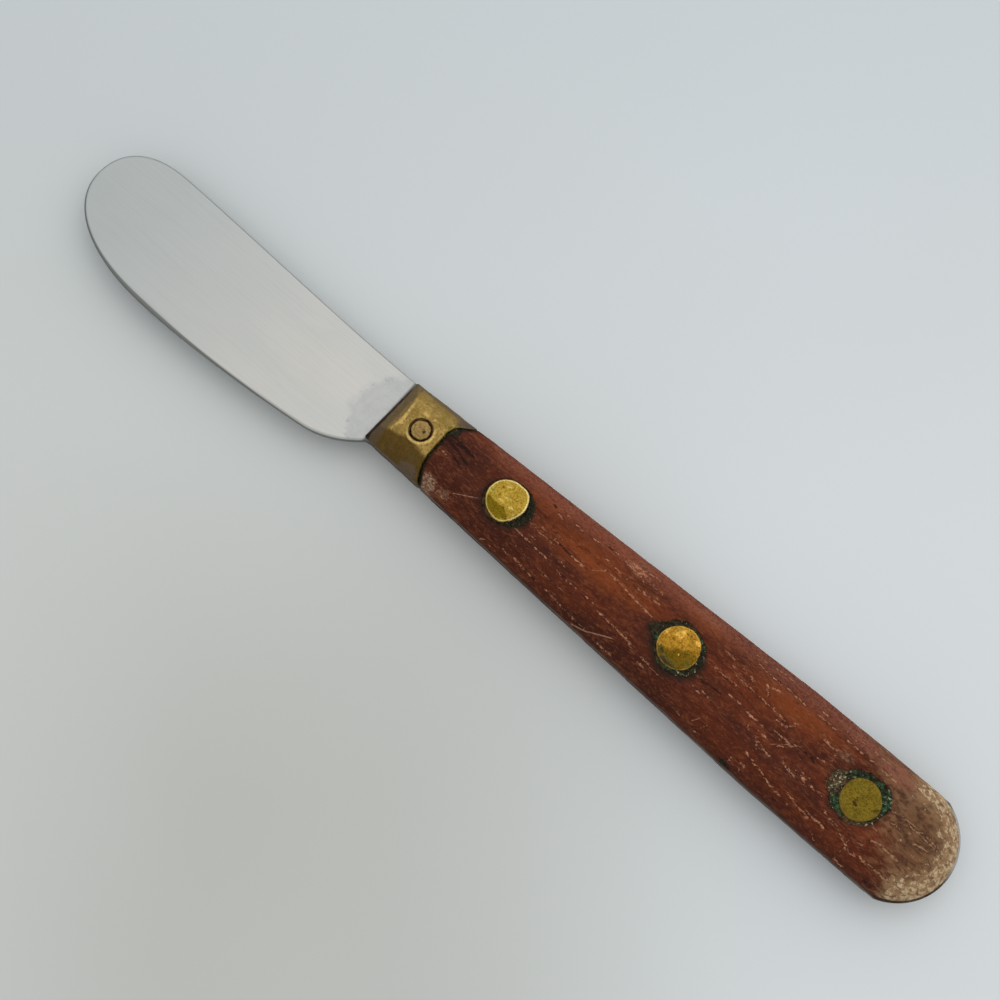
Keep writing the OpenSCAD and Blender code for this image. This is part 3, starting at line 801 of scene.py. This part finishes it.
def paint_scale(piece, side):
    places = knife_array(piece)
    places[:, 2] *= side
    x, y, z = places.T
    shown = 1.0 if side > 0 else 0.0
    thin = {width: rows for width, rows in pale_marks.items() if width < 0.56}
    broad = {width * 1.2: rows for width, rows in pale_marks.items() if width >= 0.42}
    crowd = np.maximum(stroke_mask(places, broad, 0.5), spot_mask(places, crowd_spots))
    behind = -9.4 - 0.48 * (4.3 - z) - joint_pull(x, y) - x
    seam = np.clip(1 - behind / 1.9, 0, 1) * (0.7 + 0.3 * rise(-y, 0.5, 3))
    paint(piece, "marks", shown * stroke_mask(places, thin), shown * crowd,
          np.maximum(seam, shown * stroke_mask(places, dark_marks, 0.2)),
          shown * stroke_mask(places, scratches, 0.22))
    half = np.interp(-x, [10, 60, 86, 100], [6.2, 8, 8.6, 8.4])
    # Painted highlight on the spine's shoulder, which faces the light.
    lit_spine_edge = rise(-y, half - 4, half - 1) * rise(-x, 12, 22)
    # Painted shade on the belly's shoulder, which faces away from the light.
    shaded_belly_edge = 0.65 * rise(y, half - 6, half - 3) + 0.35 * rise(y, half - 2, half - 0.4)
    paint(piece, "tint_and_light", spot_mask(places, orange_spots),
          np.maximum(spot_mask(places, dim_and_shaded_spots), 0.8 * shaded_belly_edge), lit_spine_edge,
          # Worn places, and the spine's lit edge as a painted highlight.
          np.maximum(spot_mask(places, worn_spots), 0.35 * lit_spine_edge))
    rim = rise(np.hypot(x - butt_radius + handle_length, y), 3.6, 7.9)
    rim = rim * rise(-x - np.where(y > 0, 0.55, 0.15) * y, 92, 95)
    butt = 0.72 * np.clip((-x - 0.8 * y - 86.5) / 10, 0, 1) + 0.28 * rim
    paint(piece, "stains", damp_round_rivets(places), butt, rim, spot_mask(places, reddish_spots))
    paint_crust(piece, rise(behind, 0.65, 0.25) * rise(z, 0.9, 1.1))


# %% [markdown]
# ## The finish of the wood
# From the bottom up: a slow change from dark to red-brown heartwood, faint streaks of grain, orange
# zones, dim zones that are partly painted shade by the bolster and on the belly's side, a pale pink
# painted highlight with rubbed scuffs on the spine's shoulder, which faces the light, short dark and
# pale pores with painted shade beside the pale lines, the painted strokes broken into beads, a damp
# zone round each rivet, and the tanned, bleached butt. The same masks drive the relief, so that a
# groove is both pale and sunk.

# %% Masks and grains of the wood
wood_finish, places, shader = new_finish("worn_wood")
line, crowd, dark, cut = read_paint(places, "marks")
# Tint masks: orange zones, dim zones with painted shade, the spine's painted highlight, and worn places
# with the spine's lit edge.
orange, dim_and_shaded, lit_spine_tint, worn_and_lit = read_paint(places, "tint_and_light")
around, butt, rim, reddish = read_paint(places, "stains")
crust_colour, crust_height, crusted = crust_look(places)
slow = grain(turned(places, 0, (0.04, 0.22, 0.22)), 1, 3, 0.5, 0.5)
streak = grain(turned(places, -1.5, (0.1, 1.2, 1.2)), 1, 4, 0.55, 0.3)
fibre = grain(turned(places, -1.5, (0.55, 5.5, 5.5)), 1, 3, 0.6, 0.3)
short = grain(turned(places, -2.5, (1.3, 6, 6), (7, 3, 0)), 1, 2, 0.6, 0.6)
mottle = grain(turned(places, 0, (0.7, 1.3, 1.3), (4, 1, 6)), 1, 4, 0.65, 0.5)
bead = grain(turned(places, 0, (1.7, 3.4, 3.4), (3, 9, 0)), 1, 2, 0.6, 0.8)
fleck = grain(places, 2.6, 4, 0.7, 0.6)
crumb = grain(turned(places, 0, (1.8, 3.4, 3.4), (1, 5, 2)), 1, 4, 0.7, 0.5)
flake = grain(turned(places, 0, (1, 1.3, 1.3), (9, 3, 1)), 1, 5, 0.68, 0.35)
print("masks and grains of the wood are ready")

# %% Heartwood, its zones and its fine grain
colour = coats(
    lay(slow.step(0.36, 0.66), (67, 27, 13), (96, 40, 16)),
    (orange * streak.step(0.3, 0.6, 0.5, 0.95), (122, 58, 22)),
    # Dim zones, partly painted shade.
    (dim_and_shaded * fleck.step(0.3, 0.6, 0.5, 0.85), (48, 21, 13)),
    (streak.step(0.46, 0.68, 0, 0.4), (54, 22, 12)),
    (mottle.step(0.5, 0.66, 0, 0.28), (126, 68, 38)),
    (mottle.step(0.47, 0.33, 0, 0.45), (40, 17, 11)),
    # Painted highlight: paler pink on the spine's lit shoulder.
    (lit_spine_tint * fleck.step(0.35, 0.62, 0.1, 0.7), (128, 75, 58)),
    ((short + (worn_and_lit + crowd) * 0.08).step(0.56, 0.68, 0, 0.34), (142, 84, 56)),
    (fibre.step(0.6, 0.72, 0, 0.6), (44, 19, 12)))

# %% Scuffed places, a painted highlight, dark gaps and the bleached butt
# Scuffs on worn places, and a painted highlight along the spine's lit edge.
scuffed = (worn_and_lit * (crumb + 0.45)).step(0.35, 0.95)
scuff = lay(crumb.step(0.42, 0.62), (82, 54, 40), (164, 138, 112))
gap = (dark * (bead + 0.5)).step(0.45, 0.75)
bleach = (butt + (mottle - 0.5) * 1.1).step(0.1, 0.62)
tanned = coats(lay(mottle.step(0.34, 0.64), (74, 49, 33), (117, 83, 56)),
               (rim * mottle.step(0.35, 0.6, 0.4, 0.95), (151, 121, 87)))
flaked = (flake + rim * 0.175).step(0.63, 0.72) * bleach * 0.85
flakes = lay(fleck.step(0.4, 0.6), (160, 132, 98), (198, 176, 142))
colour = coats(
    colour,
    (scuffed * 0.75, scuff),
    (gap * 0.85, (30, 14, 9)),
    (bleach * 0.85, tanned),
    (reddish * fleck.step(0.35, 0.6, 0.2, 0.7), (140, 84, 66)),
    (flake.step(0.42, 0.3) * bleach * 0.35, (58, 37, 25)),
    (flaked, flakes))

# %% Pores, scratches, damp wood and crust
beaded = (line + (bead - 0.5) * 1.9).step(0.72, 0.92)
crowded = (crowd * 0.5 + crumb).step(0.95, 1.12)
pores = coats(lay(crumb.step(0.4, 0.62), (134, 80, 54), (190, 138, 106)),
              (bleach * 0.7, (160, 126, 92)))
scratch = (cut + (bead - 0.5) * 0.5).step(0.62, 0.85)
covered = (crusted + (crumb - 0.5) * 1.3 + (flake - 0.5) * 1.1).step(0.4, 0.66)
colour = coats(
    colour,
    # Painted shade: dark beside the pale lines, where their beads break.
    (line.step(0.2, 0.5) * bead.step(0.52, 0.4) * 0.45, (46, 21, 15)),
    (beaded.math("MAXIMUM", crowded * 0.85) * 0.7, pores),
    (scratch * 0.6, (166, 122, 98)),
    ((around + crumb * 0.6).step(0.6, 1.25) * 0.85, (36, 22, 14)),
    (covered, crust_colour))
dress(shader, colour, streak.step(0.3, 0.7, 0.52, 0.7), specular=0.09)
sunk = fibre * 0.5 + beaded * 0.45 + gap * 1.2 + scratch * 0.5
eaten = (crumb + flake * 1.2) * bleach
relief(shader, short * 0.4 + eaten + crumb * worn_and_lit + covered * crust_height - sunk, 0.13, 0.85)
print("nodes in the wood:", len(wood_finish.node_tree.nodes))

# %% Both scales
for name, grid, node, side in (("wood_scale_upper", 0.2, "upper_scale", 1),
                               ("wood_scale_lower", 0.32, "lower_scale", -1)):
    bm = skin_of(node, grid)
    close_recesses(bm, side)
    wear_scale(bm, side)
    paint_scale(seat(bm, name, wood_finish, node), side)

# %% [markdown]
# ## Brass
# Brass darkens to olive-brown where nothing rubs it and stays gold on its high spots. The finish
# mixes three tones by cloudy noise, adds faint scratches, and reads masks for rubbed places with
# painted highlights, for painted shade, for green tinges, and for grime with painted shade.

# %% Tarnished brass
def brass(name, gold, olive, dull_and_shaded, rough=0.38, dusky=(84, 70, 48), tinge=(96, 100, 44),
          rubbed_highlight=(212, 178, 100), pits=1.0):
    finish, places, shader = new_finish(name)
    rubbed_and_highlit, dark, green, grime_and_shade = read_paint(places, "patina_and_light")
    cloud = grain(places, 0.6, 4, 0.6, 0.6)
    pit = grain(places, 3.6, 4, 0.7, 0.5)
    fine = grain(places, 1.8, 3, 0.6, 1.2)
    scratch = grain(turned(places, 35, (0.7, 8, 8)), 1, 2, 0.5)
    colour = coats(
        lay(cloud.step(0.35, 0.68), gold, olive),
        (fine.step(0.42, 0.62, 0, 0.6 * pits), olive),
        (pit.step(0.54, 0.7, 0, 0.4 * pits), dull_and_shaded),
        (scratch.step(0.6, 0.75, 0, 0.3), [part + 30 for part in gold]),
        # Painted shade where the dark mask lies.
        ((dark * (cloud + 0.5)).step(0.1, 0.9), dull_and_shaded),
        ((green * (fine + 0.5)).step(0.2, 0.85, 0, 0.85), tinge),
        # Grime and painted shade.
        ((grime_and_shade * (pit + 0.5)).step(0.15, 0.8), dusky),
        # Rubbed brass and painted highlights.
        ((rubbed_and_highlit * (fine + 0.4)).step(0.25, 0.85, 0, 0.75), rubbed_highlight),
        # A painted highlight on the strongest rubbed rims, and painted shade on the darkest lines.
        (rubbed_and_highlit.step(1.05, 1.7), (232, 212, 158)),
        (grime_and_shade.step(1.05, 1.7), (52, 36, 26)))
    dress(shader, colour, pit.step(0.35, 0.7, rough - 0.06, rough + 0.2), metallic=1.0)
    sunk = pit.step(0.5, 0.7) * 0.5 + scratch.step(0.6, 0.75) * 0.15
    relief(shader, (cloud + fine * 1.4) * 0.6 - sunk, 0.1, 0.95)
    return finish


bolster_brass = brass("bolster_brass", (162, 134, 76), (136, 111, 56), (94, 72, 34), 0.46,
                      (100, 84, 66), (84, 84, 34), (210, 178, 110))
print("nodes in a brass:", len(bolster_brass.node_tree.nodes))

# %% [markdown]
# ## Bolsters
# Each bolster is a cast cheek, filed flush with the wood after the pin was hammered over. The pin's
# hammering raised a lip round its sunk rim, and the filed nose left a ridge that is rubbed bright
# and carries a painted highlight. The lower slope carries painted shade, and a painted shade line
# runs along the front edge by the blade.

# %% Wear a bolster
pin_place = Vector((-6.1, 0))


def wear_bolster(bm, side):
    """Dent the cheek, raise a lip round the pin and draw the joint back with the wood."""
    for v in bm.verts:
        place = v.co.copy()
        place.z *= side
        if place.z < outer_side:
            continue
        away = (place.to_2d() - pin_place).length
        loss = 0.02 + 0.055 * lump(place, 2.2, 4) + 0.035 * lump(place, 0.8, 8)
        lip = float(rise(away, 1.75, 2) * rise(away, 2.7, 2.1))
        loss -= lip * (0.05 + 0.03 * min(max(place.y - place.x - 6, -1), 1))
        v.co.x -= float(joint_pull(place.x, place.y))
        v.co -= v.normal * max(loss, -0.04)
        v.co.z = max(v.co.z, table_z)
    bm.normal_update()


# %% Paint a bolster
ridge_y = (-3.8, -1.6, 0.9, 2.8, 4.4)
ridge_x = (-2.3, -2.75, -3, -2.5, -1.9)
# Bright spots: rubbed brass and painted highlights.
rubbed_and_highlit_spots = [(-5.2, -2.35, 1, 0.6, 0.75), (-6.9, -2.35, 0.8, 0.5, 0.65), (-3.1, 1, 0.6, 0.5, 0.9),
                (-2.75, 2.6, 0.35, 0.7, 0.7), (-2.9, -1.8, 0.5, 1, 0.6), (-4, -3.2, 0.7, 0.5, 0.5),
                (-8.4, 0.8, 1.1, 1.2, 0.25), (-8.2, -1.6, 0.7, 1.2, 0.35), (-2.6, -3.3, 0.35, 0.8, 0.5)]
# Dark spots low on the cheek, grime and painted shade.
low_dark_spots = [(-8.2, 5.6, 3, 1.5, 0.9), (-7.8, 4, 1.5, 0.8, 0.4), (-4.2, 4.6, 1.2, 0.7, 0.35)]
green_spots = [(-0.8, 5.8, 1.4, 1.4, 0.9), (-3.2, 5.9, 2.2, 0.8, 0.6), (-9.6, -4.2, 1.2, 1.2, 0.5),
               (-9.3, -2.6, 0.9, 1.4, 0.7), (-9.4, 2.4, 0.6, 1.8, 0.5), (-7.6, 3.4, 0.9, 1, 0.4)]


def paint_bolster(piece, side):
    places = knife_array(piece)
    x, y, z = places.T
    z = z * side
    away = from_middle(places, pin_place)[1]
    drift = np.array([(lump(Vector(q), 0.9, 3), lump(Vector(q), 0.9, 7), 0) for q in places])
    wave = drift[:, 0]
    places = places + 0.35 * drift
    # Rubbed brass and a painted highlight along the nose's ridge and the spine's lit rim.
    off_ridge = np.abs(x - np.interp(y, ridge_y, ridge_x))
    ridge = rise(off_ridge, 0.5, 0.1) * rise(z, 2.8, 4) * rise(y, 4.4, 1.5)
    lit_spine_rim = rise(np.abs(y + 4.3), 0.7, 0.1) * rise(-x, 2, 3.5) * rise(-x, 9, 6.5)
    lower_lip = 0.3 + 0.65 * rise(y - x - 6.1, -0.8, 1.4)
    rubbed_and_highlit = np.maximum.reduce([
        (0.68 + 0.5 * wave) * ridge, 0.3 * lit_spine_rim, spot_mask(places, rubbed_and_highlit_spots),
        lower_lip * rise(away, 1.8, 2) * rise(away, 2.6, 2.1)])
    # Painted shade on the lower slope, which faces away from the light, and a darker rear end by the
    # wood.
    behind = rise(x, -8.9 - np.abs(y) / 6, -9.6 - np.abs(y) / 6)
    dark = np.maximum(0.9 * rise(y - 0.22 * np.abs(x + 6.2), 1.3, 2.6), 0.6 * behind)
    # Grime and painted shade: a painted shade line along the front edge by the blade, painted shade on
    # the low walls by the sheet, a dark sunk ring round the pin, the spine's edge, the rear corner and
    # dark spots low on the cheek.
    grime_and_shade = np.maximum.reduce([
        0.6 * rise(-y, 4.5, 5.6), 0.55 * rise(x, -2.5, -1.7), rise(x, -1, -0.4), rise(z, 2.2, 0.9),
        2.2 * rise(x + 0.12 * wave, -0.75, -0.3) * rise(-y, 5.2, 3.6),
        1.45 * rise(away + 0.3 * wave, 2, 1.65), 0.8 * rise(-y, 3.4, 5) * rise(-x, 7.5, 10),
        spot_mask(places, low_dark_spots)])
    paint(piece, "patina_and_light", rubbed_and_highlit, dark, spot_mask(places, green_spots), grime_and_shade)


# %% Both bolsters
for name, grid, node, side in (("bolster_cheek_upper", 0.11, "upper_bolster", 1),
                               ("bolster_cheek_lower", 0.18, "lower_bolster", -1)):
    bm = skin_of(node, grid)
    wear_bolster(bm, side)
    paint_bolster(seat(bm, name, bolster_brass, node), side)

# %% [markdown]
# ## Pins and rivets
# These are turned pieces, so each is a profile that is spun about its own axis. The top of the
# profile has many short steps, which gives rings of points. A small function per piece then hammers
# or files that top: flats, a dome, dents and an uneven rim.

# %% Turned pieces
def turn(profile, place, segments=120):
    """Spin a profile of (radius, height) points about the upright line through a place."""
    bm = bmesh.new()
    points = [bm.verts.new((radius, 0, height)) for radius, height in profile]
    edges = [bm.edges.new(pair) for pair in zip(points, points[1:])]
    bmesh.ops.spin(bm, geom=points + edges, cent=(0, 0, 0), axis=(0, 0, 1), angle=2 * math.pi,
                   steps=segments, use_merge=True, use_duplicate=False)
    bmesh.ops.remove_doubles(bm, verts=bm.verts, dist=0.0005)
    bmesh.ops.translate(bm, verts=bm.verts, vec=(place[0], place[1], 0))
    return bm


def flat_top(radius, height, steps):
    """A profile's flat top, from its middle out, in short steps."""
    return [(radius * k / steps, height) for k in range(steps + 1)]


def paint_head(piece, place, radius, turns=((0, 1),), rim=0.8, shade_line=((0,), (9,)),
               shade_span=0.5, rubbed_highlight=(), shaded_creases=(), tinges=(), grime_and_shade=()):
    """A rubbed rim with a painted highlight, painted shade below a line, and spots from the middle."""
    offset, away = from_middle(knife_array(piece), place)
    away = away / going_round(turns, offset)[0]
    edge = rise(away, radius * 0.89, radius * 0.94)
    offset += 0.3 * np.array([(lump(Vector((*o, 0)), 0.8, 3), lump(Vector((*o, 5)), 0.8, 7))
                              for o in offset])
    # Painted shade on the part of the head below the shade line.
    low = rise(offset[:, 1] - np.interp(offset[:, 0], *shade_line), 0, shade_span)
    rubbed_and_highlit = np.maximum(rim * edge * (1 - 0.25 * low), spot_mask(offset, rubbed_highlight))
    green = np.maximum(0.25 * rise(away, radius * 0.72, radius * 0.95), spot_mask(offset, tinges))
    paint(piece, "patina_and_light", rubbed_and_highlit, np.maximum(low, spot_mask(offset, shaded_creases)), green,
          spot_mask(offset, grime_and_shade))


# %% The rivets' profile and tops
head_radius, head_bevel, head_floor = 3.175, 0.2, 3.05
shank_radius, shank_low = 1.15, -2.65


def rivet_profile(top):
    return flat_top(head_radius - head_bevel, top, 30) + [
        (head_radius - 0.06, top - 0.07), (head_radius, top - head_bevel), (head_radius, head_floor),
        (shank_radius, head_floor), (shank_radius, shank_low), (0, shank_low)]


def shape_top(bm, place, level, height_at, turns):
    """Move a head's top to the heights that a function gives, and its rim with it."""
    for v in bm.verts:
        if v.co.z > head_floor + 0.1:
            away = v.co.to_2d() - Vector(place)
            flat = Vector(place) + away * float(going_round(turns, np.array([away]))[0][0])
            outward = min(away.length / head_radius, 1)
            if v.co.z > level - 0.3:
                v.co.z += height_at(away, v.co)
            v.co.x = flat.x + 0.03 * lump(v.co, 1.1, 2) * outward
            v.co.y = flat.y + 0.03 * lump(v.co, 1.1, 6) * outward


# %% Filed, hammered and dented tops
def front_top(away, point):
    slope = away.y - 0.12 * away.x - 0.85 + 0.3 * lump(Vector((away.x, 0, 0)), 1.5, 3)
    wrinkle = (0.07 * lump(Vector((point.x, point.y * 2, 0)), 0.9, 1)
               + 0.05 * abs(lump(point, 0.45, 7)))
    return -min(0.34 * max(slope, 0), 0.6) - wrinkle - 0.02


def middle_top(away, point):
    dome = 0.4 * (1 - (away.length / head_radius) ** 2)
    flats = [0.36 - 0.09 * away.x, 0.3 - 0.14 * away.y, 0.33 + 0.16 * away.x + 0.05 * away.y,
             0.36 - 0.05 * away.x + 0.14 * away.y, dome + 0.05]
    soft = -0.035 * math.log(sum(math.exp(-flat / 0.035) for flat in flats))
    return soft - 0.02 - 0.09 * lump(point, 1.1, 3) - 0.05 * abs(lump(point, 0.5, 5))


def rear_top(away, point):
    dents = 0.12 * rise((away - Vector((0.55, 0.7))).length, 0.5, 0.1)
    dents += 0.05 * rise((away - Vector((0.6, 0.15))).length, 0.35, 0.1)
    uneven = 0.03 * lump(point, 1.3, 2) + 0.02 * abs(lump(point, 0.5, 4))
    return -float(dents) - 0.03 - uneven - 0.06 * (away.length / 3) ** 4


# %% [markdown]
# ## Three different heads
# The front head was filed off towards the belly, the middle one hammered into flats and the rear
# one dented. Each has its own outline going round, its own brass and its own noted spots: rubbed
# brass with painted highlights on high facets and rims, painted shade on lower facets and in creases,
# and grime with painted shade in dents and low places.

# %% Outlines and brasses of the heads
front_turns = ((0, 0.99), (20, 0.95), (48, 0.96), (60, 1), (78, 0.98), (100, 0.93), (123, 0.94),
               (150, 0.94), (180, 0.97), (203, 0.99), (231, 1), (252, 1), (279, 1.02), (294, 1.09),
               (308, 1.12), (334, 1.05), (346, 1.03))
middle_turns = ((0, 1.03), (40, 1.06), (90, 1.03), (136, 1.02), (180, 1.02), (219, 0.98), (270, 1.02),
                (318, 1.04))
rear_turns = ((0, 0.95), (43, 0.9), (90, 0.99), (134, 0.98), (180, 0.95), (226, 0.99), (270, 0.98),
              (313, 0.92))
rivet_brasses = [
    brass("front_rivet_brass", (178, 146, 58), (160, 130, 46), (122, 100, 22), 0.4, (118, 92, 40),
          (146, 146, 66), (224, 196, 116)),
    brass("middle_rivet_brass", (178, 130, 44), (150, 110, 34), (104, 80, 20), 0.38, (66, 54, 34),
          (88, 80, 34), (226, 180, 88), 0.6),
    brass("rear_rivet_brass", (118, 98, 32), (107, 89, 28), (86, 71, 23), 0.5, (66, 50, 20),
          (96, 88, 34), (168, 150, 96), 0.35)
]
rivets = list(zip(rivet_names, rivet_places, rivet_brasses))
print("brasses:", [finish.name for finish in rivet_brasses])

# %% Marks on the heads
# Rubbed highlights are rubbed brass and painted highlights on high facets; shaded creases and the part
# below the shade line are painted shade; grime marks are grime and painted shade in dents and low
# places.
front_marks = dict(
    rim=1.4, shade_line=((-2.4, -1.8, -1, -0.5, 1, 2.2), (2.4, 1.6, 1.15, 0.85, 0.8, 0.7)), shade_span=0.3,
    rubbed_highlight=[(0.8, -1.9, 0.6, 0.35, 0.8), (-0.2, -0.4, 1.7, 0.3, 0.6), (-1.5, 0.4, 0.8, 0.35, 0.8),
            (0.5, 0.4, 0.9, 0.25, 0.7), (1.9, -0.4, 0.4, 0.3, 0.6), (-1.1, -1.2, 0.4, 0.3, 0.6),
            (-2.2, 0.9, 0.5, 0.4, 0.7), (1.6, -2.2, 0.4, 0.2, 0.6)],
    shaded_creases=[(1.4, -1.3, 0.6, 0.5, 0.7), (1.3, -0.1, 0.4, 0.35, 0.6), (-0.8, -0.9, 1, 0.16, 0.5),
             (-1.9, -0.9, 0.25, 0.6, 0.4)],
    tinges=[(2.3, 0.1, 0.6, 0.9, 0.8), (1.4, -2.3, 0.7, 0.5, 0.6), (-2.7, -1.6, 0.4, 0.7, 0.8),
            (-1.5, 2.4, 0.6, 0.5, 0.7)])
middle_marks = dict(
    rim=0.7, shade_line=((-2.9, -2, -0.5, 1, 2.8), (-1.4, -1.4, -0.8, 0.1, 0.8)), shade_span=1.8,
    rubbed_highlight=[(0.9, -1.7, 1.8, 1.3, 0.55), (0.7, -2.2, 0.8, 0.6, 0.9), (1, -1.2, 1.1, 0.6, 0.8),
            (-1.9, -2.2, 0.9, 0.5, 0.9), (-0.6, 0.9, 0.4, 0.35, 0.8), (-0.8, -0.2, 0.5, 0.3, 0.6),
            (2.7, -0.8, 0.5, 0.6, 0.7), (2.3, 1.4, 0.3, 0.7, 0.7), (1.4, -2.85, 0.8, 0.25, 0.9)],
    shaded_creases=[(0.1, -2.1, 0.3, 0.25, 0.8), (1.4, -0.4, 0.4, 0.3, 0.8), (-0.4, -2.4, 0.4, 0.25, 0.7),
             (-1.2, -1.2, 1.2, 0.2, 0.5)],
    tinges=[(0, 2.5, 2.8, 0.9, 0.9), (-2.4, 1.2, 0.8, 1.3, 0.7), (2.2, 1.9, 1, 1, 0.8),
            (2.9, 0.3, 0.4, 1.6, 0.6)],
    grime_and_shade=[(0.5, 3, 2.2, 0.8, 1), (-1.2, 2.8, 1.4, 0.5, 0.7), (1.6, 2, 0.7, 0.5, 0.8),
           (0.3, 2.1, 0.8, 0.4, 0.5)])
rear_marks = dict(
    rim=0.45,
    rubbed_highlight=[(0.7, -1.7, 1.2, 0.9, 0.12)],
    shaded_creases=[(-1.4, -1.5, 1.2, 0.6, 0.5), (-0.5, 1.6, 1.5, 0.9, 0.4)],
    tinges=[(1, -1.6, 1.4, 1, 0.5)],
    grime_and_shade=[(0.5, 0.85, 0.75, 0.5, 0.9), (0.65, 0.1, 0.3, 0.3, 0.7), (0.35, 0.4, 0.4, 0.25, 0.6),
           (0.2, 0.15, 0.6, 0.4, 0.3), (-2.4, -0.15, 0.8, 0.5, 0.6), (0.8, 1.2, 0.4, 0.12, 0.5)])
print("bright spots:", [len(marks["rubbed_highlight"]) for marks in (front_marks, middle_marks, rear_marks)])

# %% Rivet heads
head_shapes = ((4.42, front_top, front_turns, front_marks),
               (4.3, middle_top, middle_turns, middle_marks),
               (4.4, rear_top, rear_turns, rear_marks))
for (name, place, finish), (top, height_at, turns, marks) in zip(rivets, head_shapes):
    bm = turn(rivet_profile(top), place)
    shape_top(bm, place, top, height_at, turns)
    piece = seat(bm, name + "_rivet_head", finish, name + "_rivet_pin")
    paint_head(piece, place, head_radius, turns, **marks)

# %% Sleeves below
tube_radius, bore_radius, tube_top = 1.6, 1.17, 2.65
sleeve_low = -4.25
sleeve_profile = flat_top(head_radius - head_bevel, sleeve_low, 12) + [
    (head_radius, sleeve_low + head_bevel), (head_radius, -head_floor),
    (tube_radius, -head_floor), (tube_radius, tube_top), (bore_radius, tube_top),
    (bore_radius, -head_floor), (0, -head_floor)]
for name, place, finish in rivets:
    bm = turn(sleeve_profile, place, 96)
    for v in bm.verts:
        if v.co.z < sleeve_low + 0.05:
            v.co.z += 0.02 + 0.02 * lump(v.co, 1, 3)
    piece = seat(bm, name + "_rivet_sleeve_head", finish, name + "_rivet_sleeve")
    paint_head(piece, place, head_radius)

# %% Bolster pin
pin_radius, pin_flat = 1.5, 1.38
pin_top, pin_edge = 4.28, 4.18
profile = flat_top(pin_flat, pin_top, 16) + [(pin_radius, pin_edge), (pin_radius, -pin_edge)]
bm = turn(profile + flat_top(pin_flat, -pin_top, 16)[::-1], pin_place, 96)
for v in bm.verts:
    if abs(v.co.z) > 3.9:
        away = v.co.to_2d() - pin_place
        waves = max(math.cos(7 * math.atan2(away.y, away.x) + 0.6), 0)
        pinch = 1 - 0.035 * waves - 0.03 * abs(lump(v.co, 1, 3))
        v.co.x, v.co.y = pin_place + away * pinch
        pit = 0.12 * float(rise((away - Vector((-0.5, 0))).length, 0.35, 0.08))
        rim = 0.03 * float(rise(away.length, 1, 1.25))
        v.co.z -= math.copysign(pit + 0.05 - rim + 0.02 * lump(v.co, 0.5, 6), v.co.z)
pin_brass = brass("pin_brass", (160, 132, 82), (144, 117, 70), (112, 90, 52), 0.48)
piece = seat(bm, "bolster_pin_end", pin_brass, "bolster_pin")
paint_head(piece, pin_place, pin_radius, rim=0.3, grime_and_shade=[
    (-0.5, 0, 0.42, 0.3, 1.3), (-0.25, -0.3, 0.4, 0.25, 0.5), (0.5, 0.6, 0.5, 0.2, 0.4)])

# %% [markdown]
# ## Crust round the rivets
# In each gap round a head lies a lumpy ring of crust. It is spun like the heads, noise raises its
# lumps, and its finish reads the crust's tables like the wood does, so the two run together. At
# the first rivet it lies low and dark; at the others it fills the gap.

# %% The crust's finish
crust_finish, places, shader = new_finish("verdigris_crust")
colour, height, _ = crust_look(places)
dress(shader, colour, 0.85, specular=0.15)
relief(shader, height, 0.2, 0.9)
print("nodes in the crust:", len(crust_finish.node_tree.nodes))

# %% Verdigris crust
ring_low, ring_inner, ring_outer = 3.1, 2.75, 4.08
ring_shapes = ((3.75, 0.07, 0.045), (4.05, 0.12, 0), (4.1, 0.14, 0))
for name, place, rows, shape in zip(rivet_names, rivet_places, crust_tables, ring_shapes):
    level, rough, crown = shape
    profile = [(ring_inner, ring_low), (2.8, level - 0.25), (2.9, level - 0.06)]
    profile += [(3 + 0.09 * k, level) for k in range(11)]
    profile += [(ring_outer, level - 0.15), (ring_outer, ring_low), (ring_inner, ring_low)]
    bm = turn(profile, place, 300)
    offset, away = from_middle(np.array([v.co for v in bm.verts]), place)
    lift = (4.2 - level) * rise(away, 3.3, 3.75) * rise(going_round(rows, offset)[0], 3.7, 3.9)
    for v, share, aside in zip(bm.verts, lift, offset[:, 1]):
        if v.co.z > level - 0.2:
            lumps = lump(v.co, 0.42, 3) + 0.6 * lump(v.co, 0.2, 8)
            v.co.z += rough * lumps + float(share - crown * aside * aside)
    paint_crust(seat(bm, name + "_rivet_crust", crust_finish))

# %% Hidden solids keep a plain finish
for name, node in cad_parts.items():
    node.data.materials.clear()
    node.data.materials.append(steel_finish if name == "blade" else bolster_brass)
print("hidden solids with a plain finish:", len(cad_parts))
